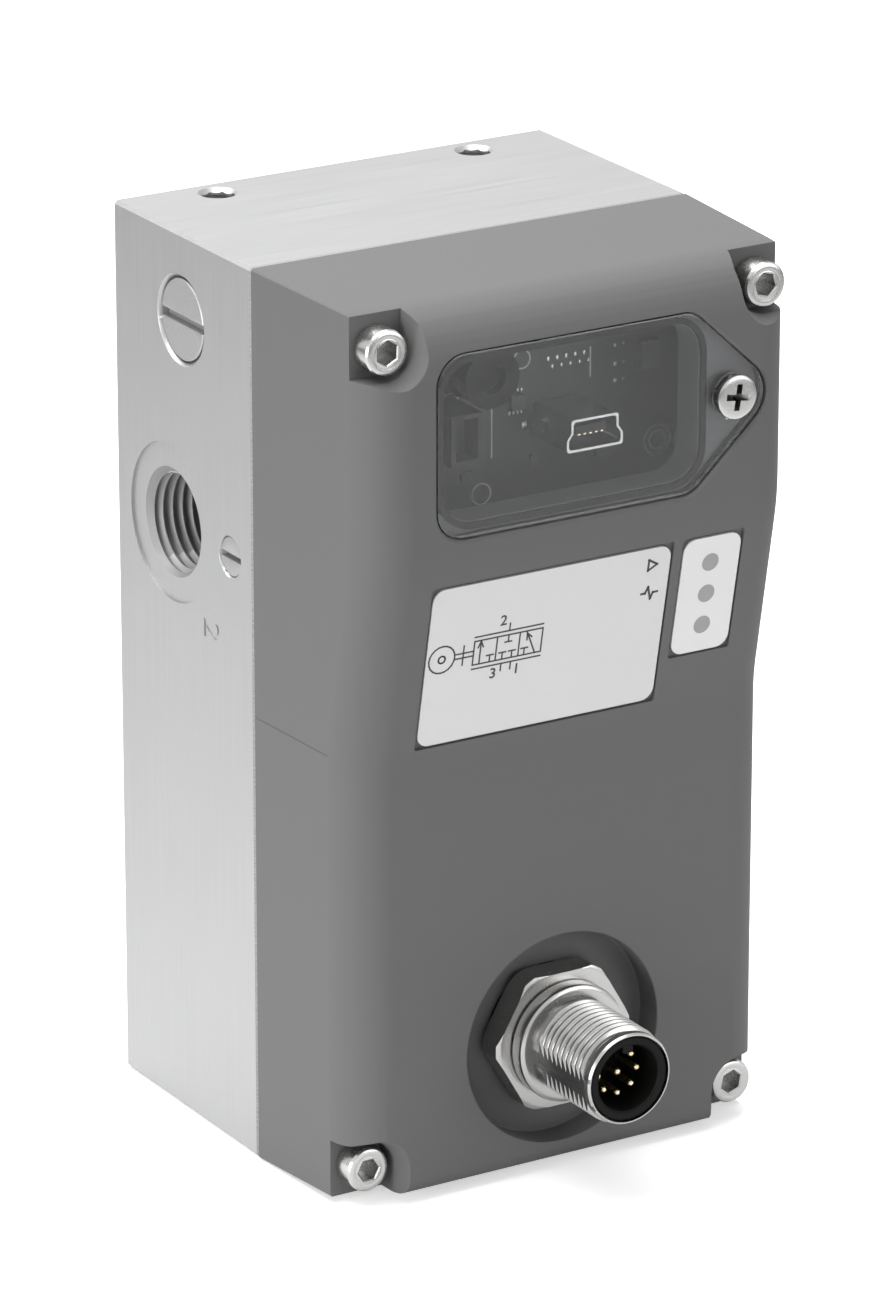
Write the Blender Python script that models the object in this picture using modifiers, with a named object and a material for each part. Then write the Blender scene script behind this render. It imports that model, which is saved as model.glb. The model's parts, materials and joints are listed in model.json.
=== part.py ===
"""Rotary-spool proportional valve with its electronics cover, in metres, +Z up.

The aluminium body stands at the back and the electronics cover is screwed to its front.
Sizes are measured from the joint between the two: X to the right, Y to the back, Z up from
the base. One empty moves the whole valve, so that its box is centred on the origin.
"""

import math

import bmesh
import bpy
from mathutils import Matrix, Vector

# Body block
BODY_WIDTH = 0.060
BODY_DEPTH = 0.033
HEIGHT = 0.112
BODY_CHAMFER = 0.0004
HALF_WIDTH = BODY_WIDTH / 2

# Gaps between pieces: seats that touch, sliding fits, and turning fits
SEAT_GAP = 0.0002
FIT_GAP = 0.00015
RUNNING_GAP = 0.00025
CUT_PAST = 0.0010

# Electronics cover
COVER_JOINT_GAP = 0.00015
UPPER_FRONT = 0.0260
LOWER_FRONT = 0.0212
SLOPE_TOP = HEIGHT - 0.0310
SLOPE_BOTTOM = SLOPE_TOP - 0.0240
SLOPE_TOP_RADIUS = 0.030
SLOPE_BOTTOM_RADIUS = 0.022
COVER_TOP_RADIUS = 0.0070
COVER_BOTTOM_RADIUS = 0.0020
COVER_INNER_RADIUS = 0.0005
COVER_TOP_DROP = 0.0005
COVER_BOTTOM_RISE = 0.0010
COVER_CORNER_RADIUS = 0.0055
COVER_CORNER_PAST = 0.0003
COVER_SIDE_DRAFT = 0.050
COVER_WALL = 0.0023
COVER_DEEPEST = UPPER_FRONT + 2 * CUT_PAST

# Cover screws, in open pockets at the four corners
SCREW_SPREAD = HALF_WIDTH - 0.0043
SCREW_INSET = 0.0046
POCKET_DEPTH = 0.0053
POCKET_RADIUS = 0.0035
POCKET_WALL = 0.0015
SCREW_HEAD_DIAMETER = 0.0055
SCREW_HEAD_HEIGHT = 0.0030
SCREW_HEAD_EDGE = 0.0003
SCREW_DIAMETER = 0.0030
SCREW_SOCKET = 0.0025
SCREW_SOCKET_DEPTH = 0.0016
SCREW_BITE = 0.0080
SCREW_HOLE_SPARE = 0.0015

# Window over the service socket
WINDOW_LEFT = -HALF_WIDTH + 0.0096
WINDOW_RIGHT = HALF_WIDTH - 0.0132
WINDOW_TOP = HEIGHT - 0.0054
WINDOW_BOTTOM = WINDOW_TOP - 0.0226
WINDOW_MIDDLE = (WINDOW_BOTTOM + WINDOW_TOP) / 2
WINDOW_CORNER = 0.0038
WINDOW_SCREW_X = WINDOW_RIGHT + 0.0034
WINDOW_TIP_RADIUS = 0.0044
WINDOW_SEAT_DEPTH = 0.0022
WINDOW_SIDE_GAP = 0.0002
WINDOW_SILL = 0.0017
WINDOW_OPENING_RIGHT = WINDOW_RIGHT - 0.0008
WINDOW_FRAME_DEPTH = 0.0065
LENS_THICKNESS = 0.0013
LENS_GASKET_THICKNESS = 0.0004
LENS_GASKET_WIDTH = 0.0009
LENS_COUNTERBORE_DEPTH = 0.0005
WINDOW_SCREW_HEAD = 0.0053
WINDOW_SCREW_HEAD_HEIGHT = 0.0014
WINDOW_SCREW_CROWN = 0.0004
WINDOW_SCREW_LENGTH = 0.0055
CROSS_HALF_WIDTH = 0.00045
CROSS_DEPTH = 0.0009

# Label plates, in shallow recesses of the sloping panel
LABEL_LEFT = -HALF_WIDTH + 0.0095
LABEL_RIGHT = HALF_WIDTH - 0.0180
LABEL_BOTTOM = SLOPE_BOTTOM + 0.0008
LABEL_TOP = SLOPE_TOP - 0.0027
LIGHT_LABEL_LEFT = LABEL_RIGHT + 0.0018
LIGHT_LABEL_RIGHT = LIGHT_LABEL_LEFT + 0.0080
LIGHT_LABEL_BOTTOM = LABEL_TOP - 0.0152
LABEL_RECESS_DEPTH = 0.0004
LABEL_RECESS_CORNER = 0.0003
LABEL_THICKNESS = 0.0003
LABEL_MARGIN = 0.0003
LABEL_CORNER = 0.0016
LIGHT_SPACING = 0.00415
LIGHT_DIAMETER = 0.0022
LIGHT_BAR_STANDOFF = 0.0022
LIGHT_BAR_THICKNESS = 0.0016

# Round connector
CONNECTOR_HEIGHT = 0.0169
CONNECTOR_FRONT = 0.0360
CONNECTOR_RECESS_DIAMETER = 0.0266
CONNECTOR_RECESS_DEPTH = 0.0040
CONNECTOR_WALL = 0.0023
CONNECTOR_BOSS_WALL = 0.0022
CONNECTOR_HEX = 0.0170
CONNECTOR_HEX_CORNER = 0.0008
CONNECTOR_HEX_THICKNESS = 0.0036
CONNECTOR_SEAL_THICKNESS = 0.0005
CONNECTOR_SEAL_DIAMETER = 0.0168
CONNECTOR_STEM_DIAMETER = 0.0126
CONNECTOR_COLLAR_DIAMETER = 0.0149
CONNECTOR_COLLAR_LENGTH = 0.0022
THREAD_DIAMETER = 0.0120
THREAD_RELIEF = 0.0008
THREAD_CHAMFER = 0.0004
INSERT_DIAMETER = 0.0107
INSERT_EDGE = 0.0002
INSERT_HOLLOW = 0.0083
INSERT_HOLLOW_DEPTH = 0.0070
INSERT_KEY_WIDTH = 0.0014
INSERT_KEY_HEIGHT = 0.0009
PIN_DIAMETER = 0.0010
PIN_CIRCLE = 0.0055
PIN_RECESS = 0.0024
PIN_STEP_DEGREES = 45
OUTER_PINS = 7

# Circuit boards and what they carry
BOARD_FRONT = 0.0115
BOARD_THICKNESS = 0.0016
BOARD_HALF_WIDTH = HALF_WIDTH - 0.0040
BOARD_EDGE_GAP = 0.0006
BOARD_SCREW_X = HALF_WIDTH - 0.0068
BOARD_SCREW_LOW = 0.0160
BOARD_SCREW_HIGH = HEIGHT - 0.0260
BOARD_BOSS_DIAMETER = 0.0056
BOARD_SCREW_DIAMETER = 0.0025
BOARD_SCREW_HEAD = 0.0045
BOARD_SCREW_HEAD_HEIGHT = 0.0016
BOARD_SCREW_BITE = 0.0050
SOCKET_X = WINDOW_RIGHT - 0.0125
SOCKET_Z = WINDOW_MIDDLE - 0.0033
SOCKET_WIDTH = 0.0077
SOCKET_HEIGHT = 0.00395
SOCKET_SHOULDER = 0.0006
SOCKET_SHOULDER_RISE = 0.0008
SOCKET_CORNER = 0.0004
SOCKET_LENGTH = 0.0085
SOCKET_WALL = 0.0003
SOCKET_FLOOR = 0.0012
TONGUE_INSET = 0.0018
TONGUE_SETBACK = 0.0010
TONGUE_THICKNESS = 0.0011
INDUCTOR_X = WINDOW_LEFT + 0.0121
INDUCTOR_Z = WINDOW_TOP - 0.0066
INDUCTOR_DIAMETER = 0.0074
INDUCTOR_HEIGHT = 0.0060
HEADER_X = WINDOW_LEFT + 0.00855
HEADER_Z = WINDOW_MIDDLE - 0.0021
HEADER_WIDTH = 0.0042
HEADER_TALL = 0.0062
HEADER_LENGTH = 0.0062
HEADER_CAVITY = 0.0030
HEADER_WALL = 0.0006

# Angle sensor and spool, measured down from the top of the body
AXIS_Y = 0.0167
SENSOR_POCKET_TOP = HEIGHT - 0.0050
SENSOR_POCKET_WIDTH = 0.0184
SENSOR_POCKET_DEPTH = 0.0255
SENSOR_BOARD_BOTTOM = HEIGHT - 0.0104
SENSOR_BOARD_THICKNESS = 0.0012
SENSOR_BOARD_WIDTH = 0.0196
SENSOR_BOARD_DEPTH = 0.0230
SENSOR_CHIP_SIZE = 0.0050
SENSOR_CHIP_DROP = 0.0012
SLEEVE_TOP = HEIGHT - 0.0190
PORT_SPACING = 0.0210
PORT_HEIGHT = SLEEVE_TOP - 0.0177
SLEEVE_BOTTOM = PORT_HEIGHT - 0.0178
SLEEVE_DIAMETER = 0.0178
SLEEVE_GROOVE_DEPTH = 0.0014
SLEEVE_GROOVE_WIDTH = 0.0060
SLEEVE_WINDOW = 0.0046
SPACER_WALL = 0.0020
O_RING_SECTION = 0.0015
SPOOL_DIAMETER = 0.0090
SPOOL_STUB = 0.0040
SPOOL_SLOT_WIDTH = 0.0040
SPOOL_SLOT_DEPTH = 0.0030
BEARING_DIAMETER = 0.0110
BEARING_WIDTH = 0.0038
BEARING_RACE = 0.0010
BEARING_BALL = 0.0013
BEARING_BALLS = 7
MAGNET_DIAMETER = 0.0060
MAGNET_THICKNESS = 0.0025
MAGNET_HOLDER_WALL = 0.0012
MAGNET_HOLDER_HEIGHT = 0.0050

# Coupling and motor, which takes the length that is left above its cap
COUPLING_TOP = SLEEVE_BOTTOM - 0.0015
COUPLING_BOTTOM = COUPLING_TOP - 0.0095
COUPLING_DIAMETER = 0.0110
CLAMP_HOLE_DIAMETER = 0.0022
MOTOR_TOP = COUPLING_BOTTOM - 0.0029
MOTOR_DIAMETER = 0.0220
MOTOR_WALL = 0.0010
MOTOR_END_CAP = 0.0040
MOTOR_MAGNET_WALL = 0.0025
MOTOR_SHAFT = 0.0030
ROTOR_DIAMETER = 0.0128
ROTOR_TOP = MOTOR_TOP - 0.0056
ROTOR_BOTTOM = 0.0140
CAP_DIAMETER = 0.0240
CAP_THICKNESS = 0.0032
CAP_SINK = 0.0004
CAP_HOLE_DIAMETER = 0.0024

# Ports and plugs of the body
PORT_Y = 0.01965
PORT_BORE = 0.0118
PORT_MOUTH = 0.0134
PORT_SPOTFACE = 0.0196
PORT_SPOTFACE_DEPTH = 0.0003
ACCESS_HEIGHT = HEIGHT - 0.0107
ACCESS_PLUG_DIAMETER = 0.0098
ACCESS_PLUG_LENGTH = 0.0060
ACCESS_MOUTH = 0.0112
ACCESS_BORE = 0.0070
ACCESS_SLOT = 0.0011
CHANNEL_HEIGHT = PORT_HEIGHT - 0.0002
CHANNEL_Y = 0.0055
CHANNEL_PLUG_DIAMETER = 0.0046
CHANNEL_PLUG_LENGTH = 0.0050
CHANNEL_MOUTH = 0.0052
CHANNEL_BORE = 0.0024
CHANNEL_SLOT = 0.0007
PLUG_SLOT_DEPTH = 0.0010
SENSOR_CAN_DIAMETER = 0.0082
SENSOR_CAN_FLANGE = 0.0100
SENSOR_CAN_FLANGE_HEIGHT = 0.0010
SENSOR_CAN_SEAT = 0.0028
SENSOR_CAN_REACH = 0.0052
SENSOR_CAN_NOSE = 0.0018
FIXING_SPREAD = HALF_WIDTH - 0.0121
FIXING_Y = BODY_DEPTH - 0.0040
FIXING_DIAMETER = 0.0040
FIXING_MOUTH = 0.0047
FIXING_DEPTH = 0.0090
CABLE_SLOT_WIDTH = 0.0080
CABLE_SLOT_BOTTOM = 0.0300
CABLE_SLOT_TOP = 0.0420

# Gasket in the cover's rim
GASKET_WIDTH = 0.0011
GASKET_DEPTH = 0.0009
GASKET_CORNER = 0.0012

FINE = 30
MEDIUM = 18
SMALL = 12
COARSE = 8

MODEL = "proportional_valve"
CUTTERS = "cutters"


def clear_scene():
    """Remove everything that the file starts with."""
    for item in list(bpy.data.objects):
        bpy.data.objects.remove(item, do_unlink=True)
    for item in list(bpy.data.collections):
        bpy.data.collections.remove(item)


def make_collection(name):
    made = bpy.data.collections.new(name)
    bpy.context.scene.collection.children.link(made)
    return made


def make_material(name, color, roughness, metallic=0.0, alpha=1.0):
    """A Principled BSDF with the finish of one kind of piece."""
    made = bpy.data.materials.new(name)
    made.use_nodes = True
    shader = made.node_tree.nodes["Principled BSDF"]
    shader.inputs["Base Color"].default_value = (*color, 1.0)
    shader.inputs["Roughness"].default_value = roughness
    shader.inputs["Metallic"].default_value = metallic
    shader.inputs["Alpha"].default_value = alpha
    made.diffuse_color = (*color, alpha)
    return made


class Workshop:
    """Holds the collections, the materials and the empties that the pieces hang on."""

    def __init__(self):
        clear_scene()
        self.model = make_collection(MODEL)
        self.cutters = make_collection(CUTTERS)
        self.materials = {
            "anodised": make_material("anodised", (0.62, 0.62, 0.63), 0.42, 0.9),
            "cover_plastic": make_material("cover_plastic", (0.10, 0.10, 0.10), 0.55),
            "clear_plastic": make_material("clear_plastic", (0.75, 0.77, 0.78), 0.08, 0.0, 0.25),
            "nickel": make_material("nickel", (0.72, 0.70, 0.66), 0.28, 1.0),
            "steel": make_material("steel", (0.60, 0.60, 0.60), 0.32, 1.0),
            "black_plastic": make_material("black_plastic", (0.02, 0.02, 0.02), 0.5),
            "rubber": make_material("rubber", (0.015, 0.015, 0.015), 0.8),
            "board": make_material("board", (0.05, 0.09, 0.06), 0.5),
            "label": make_material("label", (0.82, 0.82, 0.82), 0.4),
            "gold": make_material("gold", (0.80, 0.62, 0.30), 0.25, 1.0),
            "magnet": make_material("magnet", (0.12, 0.12, 0.13), 0.4, 0.6),
        }
        self.origin = self.add_empty("valve_origin", None)
        self.origin.location.y = (CONNECTOR_FRONT - BODY_DEPTH) / 2
        self.spool_axis = self.add_empty("spool_axis", self.origin)
        self.spool_axis.location.y = AXIS_Y

    def add_empty(self, name, parent):
        made = bpy.data.objects.new(name, None)
        made.empty_display_size = 0.01
        self.model.objects.link(made)
        made.parent = parent
        return made

    def place(self, name, mesh, finish, location=(0, 0, 0), rotation=None, parent=None):
        """Make a mesh into a named piece, or into a hidden cutter where finish is None."""
        item = bpy.data.objects.new(name, mesh)
        item.location = location
        if rotation is not None:
            item.rotation_euler = rotation
        item.parent = parent or self.origin
        if finish is None:
            self.cutters.objects.link(item)
            item.hide_render = True
            item.display_type = "WIRE"
            return item
        self.model.objects.link(item)
        mesh.materials.append(self.materials[finish])
        return item


def weld(item):
    """Merge the points that a long row of Booleans leaves on top of each other."""
    merge = item.modifiers.new("weld", "WELD")
    merge.merge_threshold = 0.000002


def smooth_round(item, angle=35):
    """Shade the round faces smooth and keep the edges that turn sharply."""
    item.data.shade_smooth()
    item.data.set_sharp_from_angle(angle=math.radians(angle))


def cut(item, cutter, solver="EXACT"):
    """Take the cutter out of the item."""
    boolean = item.modifiers.new("cut_" + cutter.name, "BOOLEAN")
    boolean.operation = "DIFFERENCE"
    boolean.object = cutter
    boolean.solver = solver


def join(item, other):
    """Add the other shape to the item as one body."""
    boolean = item.modifiers.new("join_" + other.name, "BOOLEAN")
    boolean.operation = "UNION"
    boolean.object = other
    boolean.solver = "EXACT"


def box_mesh(name, low, high):
    """A box between two corners."""
    mesh = bpy.data.meshes.new(name)
    shape = bmesh.new()
    bmesh.ops.create_cube(shape, size=1.0)
    size = Vector(high) - Vector(low)
    middle = (Vector(high) + Vector(low)) / 2
    bmesh.ops.transform(shape, matrix=Matrix.Translation(middle) @ Matrix.Diagonal((*size, 1)),
                        verts=shape.verts)
    shape.to_mesh(mesh)
    shape.free()
    return mesh


def turned_mesh(name, profile, closed=False):
    """A turned shape about Z from (radius, height) points that run down the outer side."""
    mesh = bpy.data.meshes.new(name)
    points = [(radius, 0.0, height) for radius, height in profile]
    edges = [(i, i + 1) for i in range(len(points) - 1)]
    if closed:
        edges.append((len(points) - 1, 0))
    mesh.from_pydata(points, edges, [])
    return mesh


def add_turning(item, steps):
    """Turn the item's profile about its own Z axis."""
    screw = item.modifiers.new("turning", "SCREW")
    screw.axis = "Z"
    screw.steps = steps
    screw.render_steps = steps
    screw.use_merge_vertices = True
    screw.merge_threshold = 0.000001
    screw.use_smooth_shade = True


def turned(shop, name, profile, finish, steps=MEDIUM, location=(0, 0, 0), rotation=None, parent=None,
           closed=False):
    item = shop.place(name, turned_mesh(name, profile, closed), finish, location, rotation, parent)
    add_turning(item, steps)
    return item


def ring_profile(inner, outer, low, high):
    """Closed section of a plain ring."""
    return [(outer, high), (outer, low), (inner, low), (inner, high)]


def rod_profile(radius, low, high):
    """Open section of a plain rod, from axis to axis."""
    return [(0.0, high), (radius, high), (radius, low), (0.0, low)]


def rounded_path(corners, steps):
    """Points of an outline given by corners (a, b, radius), each corner made an arc."""
    points = []
    count = len(corners)
    for index, (a, b, radius) in enumerate(corners):
        here = Vector((a, b))
        if radius <= 0:
            points.append(here)
            continue
        before = (Vector(corners[index - 1][:2]) - here).normalized()
        after = (Vector(corners[(index + 1) % count][:2]) - here).normalized()
        half = before.angle(after) / 2
        reach = radius / math.tan(half)
        centre = here + (before + after).normalized() * radius / math.sin(half)
        start = here + before * reach - centre
        turn = (here + after * reach - centre).angle_signed(start)
        for step in range(steps + 1):
            points.append(centre + Matrix.Rotation(turn * step / steps, 2) @ start)
    return points


def hull_outline(circles, steps):
    """Outline of a band stretched round circles (a, b, radius), given anticlockwise."""
    count = len(circles)
    leaving = []
    for index, (a, b, radius) in enumerate(circles):
        next_a, next_b, next_radius = circles[(index + 1) % count]
        along = math.atan2(next_b - b, next_a - a)
        length = math.hypot(next_a - a, next_b - b)
        leaving.append(along - math.acos((radius - next_radius) / length))
    points = []
    for index, (a, b, radius) in enumerate(circles):
        first = leaving[index - 1]
        sweep = (leaving[index] - first) % (2 * math.pi)
        for step in range(steps + 1):
            angle = first + sweep * step / steps
            points.append(Vector((a + radius * math.cos(angle), b + radius * math.sin(angle))))
    return points


def rectangle_circles(left, right, bottom, top, radius):
    """Corner circles of a rounded rectangle."""
    return [
        (left + radius, bottom + radius, radius),
        (right - radius, bottom + radius, radius),
        (right - radius, top - radius, radius),
        (left + radius, top - radius, radius),
    ]


def outline_mesh(name, outlines, thickness):
    """A flat plate from closed outlines, as thick as told, centred on its own XY plane."""
    curve = bpy.data.curves.new(name, "CURVE")
    curve.dimensions = "2D"
    curve.fill_mode = "BOTH"
    curve.extrude = thickness / 2
    for outline in outlines:
        spline = curve.splines.new("POLY")
        spline.points.add(len(outline) - 1)
        for point, (a, b) in zip(spline.points, outline):
            point.co = (a, b, 0.0, 1.0)
        spline.use_cyclic_u = True
    guide = bpy.data.objects.new(name + "_guide", curve)
    bpy.context.scene.collection.objects.link(guide)
    graph = bpy.context.evaluated_depsgraph_get()
    mesh = bpy.data.meshes.new_from_object(guide.evaluated_get(graph))
    mesh.name = name
    mesh.materials.clear()
    bpy.data.objects.remove(guide)
    bpy.data.curves.remove(curve)
    shape = bmesh.new()
    shape.from_mesh(mesh)
    bmesh.ops.remove_doubles(shape, verts=shape.verts, dist=0.000001)
    bmesh.ops.recalc_face_normals(shape, faces=shape.faces)
    shape.to_mesh(mesh)
    shape.free()
    return mesh


FACING_FRONT = (math.radians(90), 0, 0)
FACING_LEFT = (0, math.radians(-90), 0)
FACING_RIGHT = (0, math.radians(90), 0)


def front_plate(shop, name, outlines, near, far, finish):
    """A plate that faces the front; near and far are distances in front of the joint."""
    mesh = outline_mesh(name, outlines, far - near)
    return shop.place(name, mesh, finish, (0, -(near + far) / 2, 0), FACING_FRONT)


def front_rod(shop, name, radius, x, z, near, far, finish=None, steps=COARSE):
    """A rod along the depth; near and far are distances in front of the joint."""
    return turned(shop, name, rod_profile(radius, near, far), finish, steps, (x, 0, z), FACING_FRONT)


def front_depth(z):
    """How far the cover's outer face stands in front of the joint at a height."""
    if z <= SLOPE_BOTTOM:
        return LOWER_FRONT
    if z >= SLOPE_TOP:
        return UPPER_FRONT
    share = (z - SLOPE_BOTTOM) / (SLOPE_TOP - SLOPE_BOTTOM)
    return LOWER_FRONT + (UPPER_FRONT - LOWER_FRONT) * share


def slope_angle():
    """Tilt of the sloping panel from upright, in radians."""
    return math.atan((UPPER_FRONT - LOWER_FRONT) / (SLOPE_TOP - SLOPE_BOTTOM))


def panel_plate(shop, name, left, right, bottom, top, radius, near, far, finish):
    """A plate that lies along the sloping panel; near and far are depths below its face."""
    outline = hull_outline(rectangle_circles(left, right, bottom, top, radius), 5)
    middle = (bottom + top) / 2
    scale = 1 / math.cos(slope_angle())
    flat = [Vector((a, (b - middle) * scale)) for a, b in outline]
    mesh = outline_mesh(name, [flat], far - near)
    item = shop.place(name, mesh, finish)
    tilt = slope_angle()
    inward = Vector((0, math.cos(tilt), math.sin(tilt))) * (near + far) / 2
    item.location = Vector((0, -front_depth(middle), middle)) + inward
    item.rotation_euler = (math.radians(90) + tilt, 0, 0)
    return item


# Body


def stepped_bore(shop):
    """The bore from the base: cap seat, motor, spool sleeve."""
    cap = CAP_DIAMETER / 2 + FIT_GAP
    motor = MOTOR_DIAMETER / 2 + SEAT_GAP
    sleeve = SLEEVE_DIAMETER / 2 + SEAT_GAP
    top = SLEEVE_TOP + SEAT_GAP
    profile = [
        (0.0, top),
        (sleeve, top),
        (sleeve, MOTOR_TOP + SEAT_GAP),
        (motor, MOTOR_TOP + SEAT_GAP),
        (motor, CAP_SINK + CAP_THICKNESS + SEAT_GAP),
        (cap, CAP_SINK + CAP_THICKNESS + SEAT_GAP),
        (cap, -CUT_PAST),
        (0.0, -CUT_PAST),
    ]
    return turned(shop, "stepped_bore", profile, None, FINE, parent=shop.spool_axis)


def side_bore(shop, name, y, z, side, steps_down, segments=MEDIUM):
    """A stepped bore from one side face; steps_down lists (diameter, depth) from the mouth."""
    profile = [(0.0, CUT_PAST), (steps_down[0][0] / 2, CUT_PAST)]
    for diameter, depth in steps_down:
        profile.append((diameter / 2, -depth))
    profile.append((0.0, -steps_down[-1][1]))
    rotation = FACING_RIGHT if side > 0 else FACING_LEFT
    return turned(shop, name, profile, None, segments, (side * BODY_WIDTH / 2, y, z), rotation)


def port_steps():
    """Spotface, chamfered mouth and bore of one port, down to the sleeve."""
    reach = BODY_WIDTH / 2 - SLEEVE_DIAMETER / 2 + SLEEVE_GROOVE_DEPTH
    chamfer = PORT_SPOTFACE_DEPTH + (PORT_MOUTH - PORT_BORE) / 2
    return [
        (PORT_SPOTFACE, PORT_SPOTFACE_DEPTH),
        (PORT_MOUTH, PORT_SPOTFACE_DEPTH),
        (PORT_BORE, chamfer),
        (PORT_BORE, reach),
    ]


def plug_steps(mouth, diameter, length, bore, reach):
    """Chamfered mouth, thread and drilling of a plugged bore."""
    thread = diameter + 2 * FIT_GAP
    return [
        (mouth, 0.0),
        (thread, (mouth - thread) / 2),
        (thread, length + 2 * SEAT_GAP),
        (bore, length + 2 * SEAT_GAP),
        (bore, reach),
    ]


def upright_bore(shop, name, x, y, z, side):
    """A tapped fixing hole in the top or the base, with a chamfered mouth."""
    chamfer = (FIXING_MOUTH - FIXING_DIAMETER) / 2
    profile = [
        (0.0, CUT_PAST),
        (FIXING_MOUTH / 2, CUT_PAST),
        (FIXING_MOUTH / 2, 0.0),
        (FIXING_DIAMETER / 2, -chamfer),
        (FIXING_DIAMETER / 2, -FIXING_DEPTH),
        (0.0, -FIXING_DEPTH - FIXING_DIAMETER / 4),
    ]
    rotation = (0, 0, 0) if side > 0 else (math.radians(180), 0, 0)
    return turned(shop, name, profile, None, COARSE, (x, y, z), rotation)


def make_body(shop):
    """The machined aluminium block with its bores, ports and tapped holes."""
    mesh = box_mesh("valve_body", (-BODY_WIDTH / 2, 0, 0), (BODY_WIDTH / 2, BODY_DEPTH, HEIGHT))
    body = shop.place("valve_body", mesh, "anodised")
    bevel = body.modifiers.new("chamfer", "BEVEL")
    bevel.width = BODY_CHAMFER
    bevel.segments = 1
    bevel.limit_method = "ANGLE"
    cut(body, stepped_bore(shop))

    pocket_low = (-SENSOR_POCKET_WIDTH / 2, -CUT_PAST, SLEEVE_TOP)
    pocket_high = (SENSOR_POCKET_WIDTH / 2, SENSOR_POCKET_DEPTH, SENSOR_POCKET_TOP)
    cut(body, shop.place("sensor_pocket", box_mesh("sensor_pocket", pocket_low, pocket_high), None))
    rail = SENSOR_BOARD_WIDTH / 2 + SEAT_GAP
    rail_low = (-rail, -CUT_PAST, SENSOR_BOARD_BOTTOM - SEAT_GAP)
    rail_high = (rail, SENSOR_BOARD_DEPTH + SEAT_GAP,
                 SENSOR_BOARD_BOTTOM + SENSOR_BOARD_THICKNESS + SEAT_GAP)
    cut(body, shop.place("sensor_rails", box_mesh("sensor_rails", rail_low, rail_high), None))

    cut(body, side_bore(shop, "port_2_bore", PORT_Y, PORT_HEIGHT, -1, port_steps()))
    for number, offset in ((1, PORT_SPACING / 2), (3, -PORT_SPACING / 2)):
        cut(body, side_bore(shop, f"port_{number}_bore", PORT_Y, PORT_HEIGHT + offset, 1, port_steps()))
    access_reach = BODY_WIDTH / 2 - SENSOR_POCKET_WIDTH / 2 + CUT_PAST
    access = plug_steps(ACCESS_MOUTH, ACCESS_PLUG_DIAMETER, ACCESS_PLUG_LENGTH, ACCESS_BORE, access_reach)
    cut(body, side_bore(shop, "access_bore", AXIS_Y, ACCESS_HEIGHT, -1, access))
    channel = plug_steps(CHANNEL_MOUTH, CHANNEL_PLUG_DIAMETER, CHANNEL_PLUG_LENGTH, CHANNEL_BORE,
                         BODY_WIDTH / 2)
    cut(body, side_bore(shop, "channel_bore", CHANNEL_Y, CHANNEL_HEIGHT, -1, channel, SMALL))

    for side, z in ((1, HEIGHT), (-1, 0.0)):
        for x in (-FIXING_SPREAD, FIXING_SPREAD):
            name = f"fixing_{'top' if side > 0 else 'base'}_{'left' if x < 0 else 'right'}"
            cut(body, upright_bore(shop, name, x, FIXING_Y, z, side))
    hole = SCREW_DIAMETER / 2 + FIT_GAP
    for number, x, z, _ in cover_screw_places():
        cut(body, front_rod(shop, f"body_screw_hole_{number}", hole, x, z, -SCREW_BITE - SCREW_HOLE_SPARE,
                            CUT_PAST))
    cut(body, pressure_seat(shop))
    slot_low = (-CABLE_SLOT_WIDTH / 2, -CUT_PAST, CABLE_SLOT_BOTTOM)
    slot_high = (CABLE_SLOT_WIDTH / 2, AXIS_Y - MOTOR_DIAMETER / 4, CABLE_SLOT_TOP)
    cut(body, shop.place("cable_slot", box_mesh("cable_slot", slot_low, slot_high), None))
    smooth_round(body)
    return body


def pressure_seat(shop):
    """Seat in the body's front face for the pressure sensor, drilled on to the sleeve."""
    flange = SENSOR_CAN_FLANGE / 2 + SEAT_GAP
    nose = SENSOR_CAN_NOSE / 2 + FIT_GAP
    profile = [
        (0.0, CUT_PAST),
        (flange, CUT_PAST),
        (flange, -SENSOR_CAN_SEAT),
        (nose, -SENSOR_CAN_SEAT),
        (nose, -AXIS_Y + SLEEVE_DIAMETER / 2 - CUT_PAST),
        (0.0, -AXIS_Y + SLEEVE_DIAMETER / 2 - CUT_PAST),
    ]
    return turned(shop, "pressure_seat", profile, None, MEDIUM, (0, 0, CHANNEL_HEIGHT), FACING_FRONT)


def slotted_plug(shop, name, y, z, diameter, length, slot, finish):
    """A headless screw plug in the left face, with a driver slot across its end."""
    sink = SEAT_GAP
    radius = diameter / 2
    profile = [(0.0, -sink), (radius - sink, -sink), (radius, -2 * sink), (radius, -length), (0.0, -length)]
    plug = turned(shop, name, profile, finish, MEDIUM, (-BODY_WIDTH / 2, y, z), FACING_LEFT)
    slot_low = (-slot / 2, -diameter, -sink - PLUG_SLOT_DEPTH)
    slot_high = (slot / 2, diameter, CUT_PAST)
    cutter = shop.place(name + "_slot", box_mesh(name + "_slot", slot_low, slot_high), None)
    cutter.location = (-BODY_WIDTH / 2, y, z)
    cutter.rotation_euler = FACING_LEFT
    cut(plug, cutter)
    return plug


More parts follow.
